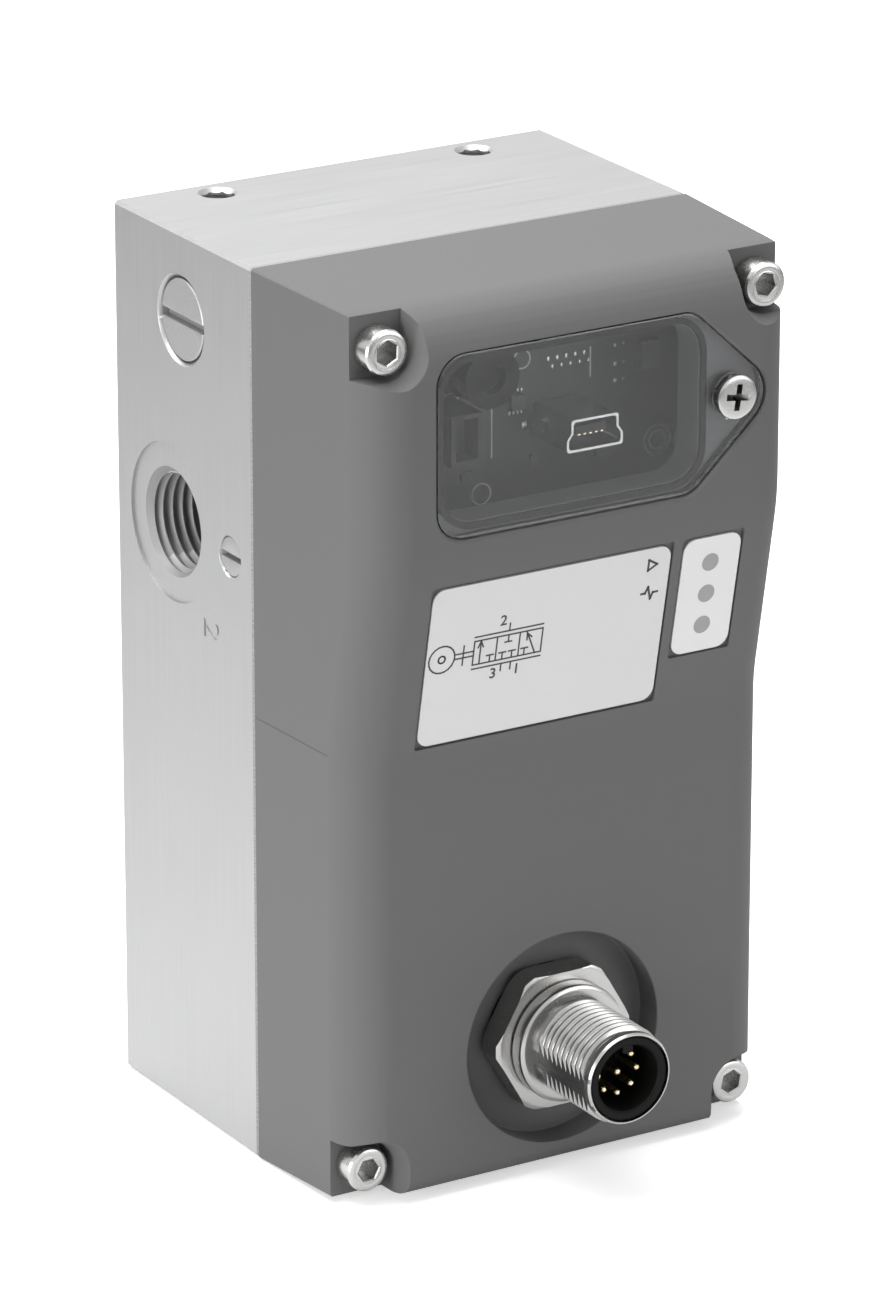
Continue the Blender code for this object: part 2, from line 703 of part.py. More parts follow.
def make_body_plugs(shop):
    """The cap under the motor and the two slotted plugs in the left face."""
    radius = CAP_DIAMETER / 2
    high = CAP_SINK + CAP_THICKNESS
    profile = [(0.0, high), (radius, high), (radius, CAP_SINK), (0.0, CAP_SINK)]
    cap = turned(shop, "motor_cap", profile, "anodised", MEDIUM, parent=shop.spool_axis)
    for number, angle in enumerate((0, 180), 1):
        x = CAP_DIAMETER / 3 * math.cos(math.radians(angle))
        hole = turned(shop, f"cap_spanner_hole_{number}",
                      rod_profile(CAP_HOLE_DIAMETER / 2, -CUT_PAST, CAP_THICKNESS / 2), None, COARSE,
                      (x, 0, 0), parent=shop.spool_axis)
        cut(cap, hole)
    slotted_plug(shop, "access_plug", AXIS_Y, ACCESS_HEIGHT, ACCESS_PLUG_DIAMETER, ACCESS_PLUG_LENGTH,
                 ACCESS_SLOT, "anodised")
    slotted_plug(shop, "channel_plug", CHANNEL_Y, CHANNEL_HEIGHT, CHANNEL_PLUG_DIAMETER,
                 CHANNEL_PLUG_LENGTH, CHANNEL_SLOT, "anodised")


# Spool, sleeve and bearings


def port_heights():
    """Heights of ports 3, 2 and 1, from the lowest."""
    return [PORT_HEIGHT - PORT_SPACING / 2, PORT_HEIGHT, PORT_HEIGHT + PORT_SPACING / 2]


def seal_heights():
    """Heights of the O-rings: one between ports and one beyond each outer port."""
    half = PORT_SPACING / 4
    low, middle, high = port_heights()
    edge = SLEEVE_GROOVE_WIDTH / 2 + O_RING_SECTION
    return [low - edge, (low + middle) / 2, (middle + high) / 2, min(high + edge, SLEEVE_TOP - half / 2)]


def bearing_heights():
    """Lower face of each bearing, in the sleeve's two ends."""
    return [SLEEVE_BOTTOM, SLEEVE_TOP - BEARING_WIDTH]


def make_sleeve(shop):
    """The fixed sleeve with a groove and windows for each port, and its seals."""
    outer = SLEEVE_DIAMETER / 2
    bore = SPOOL_DIAMETER / 2 + RUNNING_GAP
    seat = BEARING_DIAMETER / 2 + FIT_GAP
    groove = outer - SLEEVE_GROOVE_DEPTH
    seal = outer - O_RING_SECTION + SEAT_GAP
    cuts = [(z, SLEEVE_GROOVE_WIDTH / 2, groove) for z in port_heights()]
    cuts += [(z, O_RING_SECTION / 2 + SEAT_GAP, seal) for z in seal_heights()]
    profile = [(outer, SLEEVE_TOP)]
    for z, half, radius in sorted(cuts, reverse=True):
        profile += [(outer, z + half), (radius, z + half), (radius, z - half), (outer, z - half)]
    low, high = bearing_heights()
    low_shoulder = low + BEARING_WIDTH + SEAT_GAP
    high_shoulder = high - SEAT_GAP
    profile += [(outer, SLEEVE_BOTTOM), (seat, SLEEVE_BOTTOM), (seat, low_shoulder), (bore, low_shoulder)]
    profile += [(bore, high_shoulder), (seat, high_shoulder), (seat, SLEEVE_TOP)]
    sleeve = turned(shop, "spool_sleeve", profile, "steel", SMALL, parent=shop.spool_axis, closed=True)
    for number, z in zip((3, 2, 1), port_heights()):
        window = rod_profile(SLEEVE_WINDOW / 2, -SLEEVE_DIAMETER, SLEEVE_DIAMETER)
        cut(sleeve, turned(shop, f"sleeve_window_{number}", window, None, COARSE, (0, 0, z), FACING_RIGHT,
                           parent=shop.spool_axis))
    for number, z in enumerate(seal_heights(), 1):
        make_o_ring(shop, f"sleeve_o_ring_{number}", SLEEVE_DIAMETER / 2 + FIT_GAP / 2, z)


def make_o_ring(shop, name, outer, z):
    """An O-ring on the spool axis, from its outer radius."""
    section = (O_RING_SECTION - SEAT_GAP) / 2
    centre = outer - section
    sides = 6
    profile = [(centre + section * math.cos(2 * math.pi * i / sides),
                z - section * math.sin(2 * math.pi * i / sides))
               for i in range(sides)]
    turned(shop, name, profile, "rubber", SMALL, parent=shop.spool_axis, closed=True)


def make_spool(shop):
    """The rotary spool: a land with two flow slots between stubs for the bearings."""
    radius = SPOOL_DIAMETER / 2
    stub = SPOOL_STUB / 2
    low, high = bearing_heights()
    land_bottom = low + BEARING_WIDTH + 2 * SEAT_GAP
    land_top = high - 2 * SEAT_GAP
    stub_bottom = (COUPLING_BOTTOM + COUPLING_TOP) / 2 + SEAT_GAP
    stub_top = SLEEVE_TOP + MAGNET_HOLDER_HEIGHT - MAGNET_THICKNESS - SEAT_GAP
    profile = [(0.0, stub_top), (stub, stub_top), (stub, land_top), (radius, land_top),
               (radius, land_bottom), (stub, land_bottom), (stub, stub_bottom), (0.0, stub_bottom)]
    spool = turned(shop, "rotary_spool", profile, "steel", MEDIUM, parent=shop.spool_axis)
    ports = port_heights()
    for number, (bottom, top, turn) in enumerate(((ports[0], ports[1], 45), (ports[1], ports[2], 135)), 1):
        half = SLEEVE_WINDOW / 2
        low_corner = (radius - SPOOL_SLOT_DEPTH, -SPOOL_SLOT_WIDTH / 2, bottom - half)
        high_corner = (2 * radius, SPOOL_SLOT_WIDTH / 2, top + half)
        name = f"spool_slot_{number}"
        slot = shop.place(name, box_mesh(name, low_corner, high_corner), None, parent=shop.spool_axis)
        slot.rotation_euler = (0, 0, math.radians(turn))
        cut(spool, slot)


def make_bearing(shop, name, bottom):
    """A ball bearing: outer ring, inner ring, and the balls in their cage."""
    top = bottom + BEARING_WIDTH - SEAT_GAP
    outer = BEARING_DIAMETER / 2
    inner = SPOOL_STUB / 2 + FIT_GAP
    middle = (bottom + top) / 2
    turned(shop, name + "_outer_ring", ring_profile(outer - BEARING_RACE, outer, bottom, top), "steel",
           SMALL, parent=shop.spool_axis, closed=True)
    turned(shop, name + "_inner_ring", ring_profile(inner, inner + BEARING_RACE, bottom, top), "steel",
           SMALL, parent=shop.spool_axis, closed=True)
    track = (inner + outer) / 2
    half = BEARING_BALL / 4
    cage = turned(shop, name + "_balls", ring_profile(track - half, track + half, middle - half,
                                                      middle + half),
                  "steel", SMALL, parent=shop.spool_axis, closed=True)
    for number in range(BEARING_BALLS):
        angle = 2 * math.pi * number / BEARING_BALLS
        mesh = bpy.data.meshes.new(f"{name}_ball_{number}")
        shape = bmesh.new()
        bmesh.ops.create_icosphere(shape, subdivisions=1, radius=BEARING_BALL / 2)
        shape.to_mesh(mesh)
        shape.free()
        ball = shop.place(f"{name}_ball_{number}", mesh, None,
                          (track * math.cos(angle), track * math.sin(angle), middle),
                          parent=shop.spool_axis)
        join(cage, ball)


# Motor and angle sensor


def make_motor(shop):
    """The motor can, its magnets, end cap and rotor, and the spacer that holds the sleeve up."""
    radius = MOTOR_DIAMETER / 2
    inner = radius - MOTOR_WALL
    bottom = CAP_SINK + CAP_THICKNESS + 2 * SEAT_GAP
    can_bottom = bottom + MOTOR_END_CAP + SEAT_GAP
    neck = MOTOR_SHAFT / 2 + RUNNING_GAP
    can = [(radius, MOTOR_TOP), (radius, can_bottom), (inner, can_bottom),
           (inner, MOTOR_TOP - 2 * MOTOR_WALL), (neck, MOTOR_TOP - 2 * MOTOR_WALL), (neck, MOTOR_TOP)]
    turned(shop, "motor_can", can, "steel", MEDIUM, parent=shop.spool_axis, closed=True)
    turned(shop, "motor_end_cap", ring_profile(neck, radius, bottom, bottom + MOTOR_END_CAP),
           "black_plastic", MEDIUM, parent=shop.spool_axis, closed=True)
    magnet_outer = inner - SEAT_GAP
    turned(shop, "motor_magnets",
           ring_profile(magnet_outer - MOTOR_MAGNET_WALL, magnet_outer, ROTOR_BOTTOM, ROTOR_TOP), "magnet",
           MEDIUM, parent=shop.spool_axis, closed=True)
    core = ROTOR_DIAMETER / 2
    shaft = MOTOR_SHAFT / 2
    commutator = core * 0.6
    shaft_top = (COUPLING_BOTTOM + COUPLING_TOP) / 2 - SEAT_GAP
    rotor = [(0.0, shaft_top), (shaft, shaft_top), (shaft, ROTOR_TOP), (core, ROTOR_TOP),
             (core, ROTOR_BOTTOM), (commutator, ROTOR_BOTTOM), (commutator, can_bottom + SEAT_GAP),
             (shaft, can_bottom + SEAT_GAP), (shaft, bottom), (0.0, bottom)]
    turned(shop, "motor_rotor", rotor, "steel", MEDIUM, parent=shop.spool_axis)
    sleeve = SLEEVE_DIAMETER / 2
    turned(shop, "sleeve_spacer", ring_profile(sleeve - SPACER_WALL, sleeve, MOTOR_TOP + 2 * SEAT_GAP,
                                               SLEEVE_BOTTOM - SEAT_GAP), "anodised", MEDIUM,
           parent=shop.spool_axis, closed=True)


def make_coupling(shop):
    """The coupling that joins the motor's shaft to the spool's stub."""
    outer = COUPLING_DIAMETER / 2
    low_bore = MOTOR_SHAFT / 2 + FIT_GAP
    high_bore = SPOOL_STUB / 2 + FIT_GAP
    waist = (COUPLING_BOTTOM + COUPLING_TOP) / 2
    profile = [(outer, COUPLING_TOP), (outer, COUPLING_BOTTOM), (low_bore, COUPLING_BOTTOM),
               (low_bore, waist), (high_bore, waist), (high_bore, COUPLING_TOP)]
    coupling = turned(shop, "shaft_coupling", profile, "anodised", MEDIUM, parent=shop.spool_axis,
                      closed=True)
    clamp_hole = rod_profile(CLAMP_HOLE_DIAMETER / 2, 0.0, COUPLING_DIAMETER)
    for number, z in enumerate(((COUPLING_BOTTOM + waist) / 2, (waist + COUPLING_TOP) / 2), 1):
        cut(coupling, turned(shop, f"clamp_screw_hole_{number}", clamp_hole, None, COARSE, (0, 0, z),
                             FACING_LEFT, parent=shop.spool_axis))


def make_angle_sensor(shop):
    """The magnet in its holder on the spool's upper stub, and the sensor board over it."""
    bottom = SLEEVE_TOP + SEAT_GAP
    top = bottom + MAGNET_HOLDER_HEIGHT
    magnet = MAGNET_DIAMETER / 2
    bore = SPOOL_STUB / 2 + FIT_GAP
    seat = top - MAGNET_THICKNESS
    outer = magnet + MAGNET_HOLDER_WALL
    profile = [(outer, top), (outer, bottom), (bore, bottom), (bore, seat - SEAT_GAP),
               (magnet + FIT_GAP, seat - SEAT_GAP), (magnet + FIT_GAP, top)]
    turned(shop, "magnet_holder", profile, "black_plastic", MEDIUM, parent=shop.spool_axis, closed=True)
    turned(shop, "sensor_magnet", rod_profile(magnet, seat + SEAT_GAP, top), "magnet", MEDIUM,
           parent=shop.spool_axis)
    half = SENSOR_BOARD_WIDTH / 2
    low = (-half, SEAT_GAP, SENSOR_BOARD_BOTTOM)
    high = (half, SENSOR_BOARD_DEPTH, SENSOR_BOARD_BOTTOM + SENSOR_BOARD_THICKNESS)
    board = shop.place("sensor_board", box_mesh("sensor_board", low, high), "board")
    chip = SENSOR_CHIP_SIZE / 2
    chip_low = (-chip, AXIS_Y - chip, SENSOR_BOARD_BOTTOM - SENSOR_CHIP_DROP)
    chip_high = (chip, AXIS_Y + chip, SENSOR_BOARD_BOTTOM + SENSOR_BOARD_THICKNESS / 2)
    join(board, shop.place("sensor_chip", box_mesh("sensor_chip", chip_low, chip_high), None))


def make_pressure_sensor(shop):
    """The sensor can in the body's front face, with its nose in the pressure drilling."""
    flange = SENSOR_CAN_FLANGE / 2
    can = SENSOR_CAN_DIAMETER / 2
    nose = SENSOR_CAN_NOSE / 2
    seat = -SENSOR_CAN_SEAT + SEAT_GAP
    profile = [(0.0, SENSOR_CAN_REACH), (can, SENSOR_CAN_REACH), (can, seat + SENSOR_CAN_FLANGE_HEIGHT),
               (flange, seat + SENSOR_CAN_FLANGE_HEIGHT), (flange, seat), (nose, seat), (nose, -CHANNEL_Y),
               (0.0, -CHANNEL_Y)]
    turned(shop, "pressure_sensor", profile, "steel", MEDIUM, (0, 0, CHANNEL_HEIGHT), FACING_FRONT)


# Electronics cover


def cover_outline(inset):
    """Side outline of the cover as (y, z) points, moved in by inset from the outer face."""
    front_low = -(LOWER_FRONT - inset)
    front_high = -(UPPER_FRONT - inset)
    low = COVER_BOTTOM_RISE + inset
    high = HEIGHT - COVER_TOP_DROP - inset
    back = -COVER_JOINT_GAP if inset == 0 else inset
    shift = inset * math.tan(slope_angle() / 2)
    corner_end = HEIGHT - SCREW_INSET - POCKET_RADIUS + COVER_CORNER_PAST
    corners = [
        (back, inset, 0),
        (front_low, low, COVER_BOTTOM_RADIUS if inset == 0 else COVER_INNER_RADIUS),
        (front_low, SLOPE_BOTTOM + shift, SLOPE_BOTTOM_RADIUS + inset),
        (front_high, SLOPE_TOP + shift, SLOPE_TOP_RADIUS - inset),
        (front_high, corner_end, 0),
        (front_high, high, COVER_TOP_RADIUS - inset),
        (back, HEIGHT - inset, 0),
    ]
    return rounded_path(corners, 5)


def cover_block(name, inset, corner_radius):
    """The cover's outline drawn across its width, drafted and rounded at the upright corners."""
    width = BODY_WIDTH - 2 * inset
    outline = cover_outline(inset)
    mesh = outline_mesh(name, [outline], width)
    shape = bmesh.new()
    shape.from_mesh(mesh)
    turn = Matrix(((0, 0, 1, 0), (1, 0, 0, 0), (0, 1, 0, 0), (0, 0, 0, 1)))
    bmesh.ops.transform(shape, matrix=turn, verts=shape.verts)
    low = COVER_BOTTOM_RISE + COVER_BOTTOM_RADIUS + inset
    high = HEIGHT - SCREW_INSET - POCKET_RADIUS + COVER_CORNER_PAST
    tolerance = BODY_CHAMFER / 6
    upright = [
        edge for edge in shape.edges
        if all(low - tolerance < vert.co.z < high + tolerance for vert in edge.verts)
        and all(vert.co.y < -LOWER_FRONT + inset + tolerance for vert in edge.verts)
        and abs(edge.verts[0].co.x - edge.verts[1].co.x) < tolerance
    ]
    bmesh.ops.bevel(shape, geom=upright, offset=corner_radius, offset_type="OFFSET", segments=4,
                    profile=0.5, affect="EDGES", clamp_overlap=False)
    for vert in shape.verts:
        vert.co.x *= 1 + COVER_SIDE_DRAFT * vert.co.y / (BODY_WIDTH / 2)
    bmesh.ops.recalc_face_normals(shape, faces=shape.faces)
    shape.to_mesh(mesh)
    shape.free()
    return mesh


def cover_screw_places():
    """Number, x, z and ledge depth of each cover screw."""
    high = HEIGHT - SCREW_INSET
    upper = UPPER_FRONT - POCKET_DEPTH
    lower = LOWER_FRONT - POCKET_DEPTH
    return [(1, -SCREW_SPREAD, high, upper), (2, SCREW_SPREAD, high, upper),
            (3, -SCREW_SPREAD, SCREW_INSET, lower), (4, SCREW_SPREAD, SCREW_INSET, lower)]


def corner_outline(x, z, reach):
    """Square corner region round a cover screw, with one rounded inner corner."""
    side = 1 if x > 0 else -1
    end = 1 if z > HEIGHT / 2 else -1
    far_x = side * BODY_WIDTH
    far_z = HEIGHT / 2 + end * HEIGHT
    corners = [(x - side * reach, z - end * reach, reach), (far_x, z - end * reach, 0), (far_x, far_z, 0),
               (x - side * reach, far_z, 0)]
    return rounded_path(corners, 5)


def corner_block(shop, name, x, z, reach, near, far):
    """A cutter that fills the corner region of one cover screw."""
    return front_plate(shop, name, [corner_outline(x, z, reach)], near, far, None)


def window_outline(inset):
    """The window's outline, pointed towards its screw."""
    radius = WINDOW_CORNER - inset
    left, right = WINDOW_LEFT + WINDOW_CORNER, WINDOW_RIGHT - WINDOW_CORNER
    low, high = WINDOW_BOTTOM + WINDOW_CORNER, WINDOW_TOP - WINDOW_CORNER
    tip = (WINDOW_SCREW_X, (WINDOW_BOTTOM + WINDOW_TOP) / 2, WINDOW_TIP_RADIUS - inset)
    return hull_outline([(left, low, radius), (right, low, radius), tip, (right, high, radius),
                         (left, high, radius)], 6)


def opening_outline(inset):
    """The opening behind the lens, a rounded rectangle inside the window."""
    left, right = WINDOW_LEFT + WINDOW_SILL + inset, WINDOW_OPENING_RIGHT - inset
    low, high = WINDOW_BOTTOM + WINDOW_SILL + inset, WINDOW_TOP - WINDOW_SILL - inset
    return hull_outline(rectangle_circles(left, right, low, high, WINDOW_CORNER - inset), 6)


def light_places():
    """Centre (x, z) of the three status lights, from the top."""
    x = (LIGHT_LABEL_LEFT + LIGHT_LABEL_RIGHT) / 2
    middle = (LIGHT_LABEL_BOTTOM + LABEL_TOP) / 2
    return [(x, middle + LIGHT_SPACING * step) for step in (1, 0, -1)]


def board_screw_places():
    return [(number, side * BOARD_SCREW_X, z) for number, (side, z) in enumerate(
        ((-1, BOARD_SCREW_HIGH), (1, BOARD_SCREW_HIGH), (-1, BOARD_SCREW_LOW), (1, BOARD_SCREW_LOW)), 1)]


def gasket_outlines(width):
    """Outer and inner outline of the rim gasket: it steps round the corner screws."""
    edge = BODY_WIDTH / 2 - COVER_WALL / 2
    step = SCREW_SPREAD - POCKET_RADIUS - POCKET_WALL + COVER_WALL / 2
    low = COVER_WALL / 2
    low_step = SCREW_INSET + POCKET_RADIUS + POCKET_WALL - COVER_WALL / 2
    outlines = []
    for half in (width / 2, -width / 2):
        radius = GASKET_CORNER + half
        inner_radius = GASKET_CORNER - half
        corners = []
        for side, end in ((1, -1), (1, 1), (-1, 1), (-1, -1)):
            def at(x, z, r, side=side, end=end):
                height = z if end < 0 else HEIGHT - z
                return (side * x, height, r)
            trio = [
                at(step + half, low - half, radius),
                at(step + half, low_step - half, inner_radius),
                at(edge + half, low_step - half, radius),
            ]
            corners += trio if side * end < 0 else trio[::-1]
        outlines.append(rounded_path(corners, 2))
    return outlines


def make_cover(shop):
    """The moulded electronics cover: a drafted shell with screw pockets, window and recesses."""
    cover = shop.place("electronics_cover", cover_block("electronics_cover", 0, COVER_CORNER_RADIUS),
                       "cover_plastic")
    hollow = shop.place("cover_hollow", cover_block("cover_hollow", COVER_WALL,
                                                    COVER_CORNER_RADIUS - COVER_WALL), None)
    reach = POCKET_RADIUS + POCKET_WALL
    for number, x, z, _ in cover_screw_places():
        cut(hollow, corner_block(shop, f"corner_post_{number}", x, z, reach, -COVER_WALL, COVER_DEEPEST))

    frame_back = UPPER_FRONT - WINDOW_FRAME_DEPTH
    frame_low = (WINDOW_LEFT - WINDOW_SILL, -COVER_DEEPEST, WINDOW_BOTTOM - WINDOW_SILL)
    frame_high = (BODY_WIDTH, -frame_back, HEIGHT)
    cut(hollow, shop.place("window_frame_block", box_mesh("window_frame_block", frame_low, frame_high),
                           None))
    boss = CONNECTOR_RECESS_DIAMETER / 2 + CONNECTOR_BOSS_WALL
    connector_back = LOWER_FRONT - CONNECTOR_RECESS_DEPTH - CONNECTOR_WALL
    cut(hollow, front_rod(shop, "connector_boss", boss, 0, CONNECTOR_HEIGHT, connector_back, COVER_DEEPEST,
                          steps=FINE))
    for number, x, z in board_screw_places():
        cut(hollow, front_rod(shop, f"board_boss_{number}", BOARD_BOSS_DIAMETER / 2, x, z,
                              BOARD_FRONT + SEAT_GAP, COVER_DEEPEST, steps=SMALL))
    cut(cover, hollow)

    for number, x, z, ledge in cover_screw_places():
        cut(cover, corner_block(shop, f"screw_pocket_{number}", x, z, POCKET_RADIUS, ledge,
                                COVER_DEEPEST + CUT_PAST))
        hole = SCREW_DIAMETER / 2 + FIT_GAP
        cut(cover, front_rod(shop, f"cover_screw_hole_{number}", hole, x, z, -CUT_PAST, COVER_DEEPEST))
    for number, x, z in board_screw_places():
        hole = BOARD_SCREW_DIAMETER / 2 + FIT_GAP
        cut(cover, front_rod(shop, f"board_boss_hole_{number}", hole, x, z, BOARD_FRONT - CUT_PAST,
                             BOARD_FRONT + BOARD_SCREW_BITE + CUT_PAST))

    seat = UPPER_FRONT - WINDOW_SEAT_DEPTH
    cut(cover, front_plate(shop, "window_seat", [window_outline(0)], seat, COVER_DEEPEST, None))
    cut(cover, front_plate(shop, "window_opening", [opening_outline(0)], frame_back - 2 * CUT_PAST,
                           COVER_DEEPEST + CUT_PAST, None))
    hole = SCREW_DIAMETER / 2 + FIT_GAP
    cut(cover, front_rod(shop, "window_screw_hole", hole, WINDOW_SCREW_X, WINDOW_MIDDLE,
                         frame_back - CUT_PAST, COVER_DEEPEST))

    recess = CONNECTOR_RECESS_DIAMETER / 2
    floor = LOWER_FRONT - CONNECTOR_RECESS_DEPTH
    stem = CONNECTOR_STEM_DIAMETER / 2 + FIT_GAP
    past = connector_back - CUT_PAST
    stepped = [(0.0, COVER_DEEPEST), (recess, COVER_DEEPEST), (recess, floor), (stem, floor), (stem, past),
               (0.0, past)]
    cut(cover, turned(shop, "connector_recess", stepped, None, FINE, (0, 0, CONNECTOR_HEIGHT),
                      FACING_FRONT))

    cut(cover, panel_plate(shop, "label_recess", LABEL_LEFT - LABEL_MARGIN, LABEL_RIGHT + LABEL_MARGIN,
                           LABEL_BOTTOM - LABEL_MARGIN, LABEL_TOP + LABEL_MARGIN, LABEL_RECESS_CORNER,
                           -COVER_WALL, LABEL_RECESS_DEPTH, None))
    cut(cover, panel_plate(shop, "light_label_recess", LIGHT_LABEL_LEFT - LABEL_MARGIN,
                           LIGHT_LABEL_RIGHT + LABEL_MARGIN,
                           LIGHT_LABEL_BOTTOM - LABEL_MARGIN, LABEL_TOP + LABEL_MARGIN, LABEL_RECESS_CORNER,
                           -COVER_WALL, LABEL_RECESS_DEPTH, None))
    for number, (x, z) in enumerate(light_places(), 1):
        radius = LIGHT_DIAMETER / 2 + FIT_GAP
        cut(cover, front_rod(shop, f"light_hole_{number}", radius, x, z, LOWER_FRONT - 2 * COVER_WALL,
                             COVER_DEEPEST))

    groove = GASKET_WIDTH + 2 * FIT_GAP
    cut(cover, front_plate(shop, "gasket_groove", gasket_outlines(groove), -CUT_PAST, GASKET_DEPTH, None))
    weld(cover)
    smooth_round(cover)
    front_plate(shop, "cover_gasket", gasket_outlines(GASKET_WIDTH), FIT_GAP / 2, GASKET_DEPTH - FIT_GAP,
                "rubber")
    return cover


def make_cover_screws(shop):
    """Four socket-head screws, from the corner pockets into the body."""
    for number, x, z, ledge in cover_screw_places():
        seat = ledge + SEAT_GAP / 2
        head = SCREW_HEAD_DIAMETER / 2
        shank = SCREW_DIAMETER / 2
        face = seat + SCREW_HEAD_HEIGHT
        edge = SCREW_HEAD_EDGE
        profile = [(0.0, face), (head - edge, face), (head, face - edge), (head, seat), (shank, seat),
                   (shank, -SCREW_BITE), (0.0, -SCREW_BITE)]
        name = f"cover_screw_{number}"
        screw = turned(shop, name, profile, "steel", SMALL, (x, 0, z), FACING_FRONT)
        socket_radius = SCREW_SOCKET / 2 / math.cos(math.radians(30))
        socket = turned(shop, name + "_socket",
                        rod_profile(socket_radius, face - SCREW_SOCKET_DEPTH, face + CUT_PAST),
                        None, 6, (x, 0, z), FACING_FRONT)
        cut(screw, socket)


def make_window(shop):
    """The clear lens, its gasket and its screw."""
    seat = UPPER_FRONT - WINDOW_SEAT_DEPTH
    gasket_near = seat + FIT_GAP / 2
    gasket_far = gasket_near + LENS_GASKET_THICKNESS
    front_plate(shop, "window_gasket", [opening_outline(-LENS_GASKET_WIDTH), opening_outline(-FIT_GAP)],
                gasket_near, gasket_far, "rubber")
    lens_near = gasket_far + FIT_GAP / 2
    lens_far = lens_near + LENS_THICKNESS
    lens = front_plate(shop, "window_lens", [window_outline(WINDOW_SIDE_GAP)], lens_near, lens_far,
                       "clear_plastic")
    z = WINDOW_MIDDLE
    shank = SCREW_DIAMETER / 2
    head = WINDOW_SCREW_HEAD / 2
    head_seat = lens_far - LENS_COUNTERBORE_DEPTH
    cut(lens, front_rod(shop, "lens_hole", shank + FIT_GAP, WINDOW_SCREW_X, z, lens_near - CUT_PAST,
                        lens_far + CUT_PAST))
    cut(lens, front_rod(shop, "lens_counterbore", head + FIT_GAP, WINDOW_SCREW_X, z, head_seat,
                        lens_far + CUT_PAST, steps=MEDIUM))
    face = head_seat + SEAT_GAP / 2 + WINDOW_SCREW_HEAD_HEIGHT
    low = head_seat + SEAT_GAP / 2
    crown = WINDOW_SCREW_CROWN
    profile = [(0.0, face), (head * 0.55, face - crown / 4), (head * 0.85, face - crown),
               (head, face - 2 * crown),
               (head, low), (shank, low), (shank, lens_near - WINDOW_SCREW_LENGTH),
               (0.0, lens_near - WINDOW_SCREW_LENGTH)]
    screw = turned(shop, "window_screw", profile, "nickel", MEDIUM, (WINDOW_SCREW_X, 0, z), FACING_FRONT)
    arm, width = head * 0.62, CROSS_HALF_WIDTH
    for number, (half_x, half_z) in enumerate(((arm, width), (width, arm)), 1):
        name = f"cross_recess_{number}"
        mesh = box_mesh(name, (-half_x, -face - CUT_PAST, -half_z), (half_x, -face + CROSS_DEPTH, half_z))
        cut(screw, shop.place(name, mesh, None, (WINDOW_SCREW_X, 0, z)))


def make_labels(shop):
    """The two label plates on the sloping panel, and the light guide behind the lights."""
    low = LABEL_RECESS_DEPTH - FIT_GAP / 3
    near = low - LABEL_THICKNESS
    panel_plate(shop, "type_label", LABEL_LEFT, LABEL_RIGHT, LABEL_BOTTOM, LABEL_TOP, LABEL_CORNER, near,
                low, "label")
    panel_plate(shop, "light_label", LIGHT_LABEL_LEFT, LIGHT_LABEL_RIGHT, LIGHT_LABEL_BOTTOM, LABEL_TOP,
                LABEL_CORNER, near, low, "label")
    places = light_places()
    x = places[0][0]
    bar_near = BOARD_FRONT + LIGHT_BAR_STANDOFF
    half = LIGHT_DIAMETER / 2 * 0.8
    low_corner = (x - half, -bar_near - LIGHT_BAR_THICKNESS, places[-1][1] - half)
    high_corner = (x + half, -bar_near, places[0][1] + half)
    guide = shop.place("light_guide", box_mesh("light_guide", low_corner, high_corner), "clear_plastic")
    for number, (x, z) in enumerate(places, 1):
        face = front_depth(z) - LABEL_RECESS_DEPTH / math.cos(slope_angle()) - 3 * FIT_GAP
        face -= LIGHT_DIAMETER / 2 * math.tan(slope_angle())
        rod = front_rod(shop, f"light_rod_{number}", LIGHT_DIAMETER / 2, x, z, BOARD_FRONT + SEAT_GAP, face)
        join(guide, rod)


# Circuit board


def make_board(shop):
    """The main circuit board, fixed to the cover's bosses from behind."""
    back = BOARD_FRONT - BOARD_THICKNESS
    edge = COVER_WALL + BOARD_EDGE_GAP
    low = (-BOARD_HALF_WIDTH, -BOARD_FRONT, COVER_BOTTOM_RISE + edge)
    high = (BOARD_HALF_WIDTH, -back, HEIGHT - COVER_TOP_DROP - edge)
    board = shop.place("main_board", box_mesh("main_board", low, high), "board")
    reach = POCKET_RADIUS + POCKET_WALL + BOARD_EDGE_GAP
    for number, x, z, _ in cover_screw_places():
        cut(board, corner_block(shop, f"board_notch_{number}", x, z, reach, back - CUT_PAST,
                                BOARD_FRONT + CUT_PAST))
    for number, x, z in board_screw_places():
        hole = BOARD_SCREW_DIAMETER / 2 + FIT_GAP
        cut(board, front_rod(shop, f"board_hole_{number}", hole, x, z, back - CUT_PAST,
                             BOARD_FRONT + CUT_PAST))
        head = BOARD_SCREW_HEAD / 2
        shank = BOARD_SCREW_DIAMETER / 2
        seat = back - SEAT_GAP / 2
        end = BOARD_FRONT + BOARD_SCREW_BITE
        profile = [(0.0, end), (shank, end), (shank, seat), (head, seat),
                   (head, seat - BOARD_SCREW_HEAD_HEIGHT), (0.0, seat - BOARD_SCREW_HEAD_HEIGHT)]
        turned(shop, f"board_screw_{number}", profile, "steel", COARSE, (x, 0, z), FACING_FRONT)


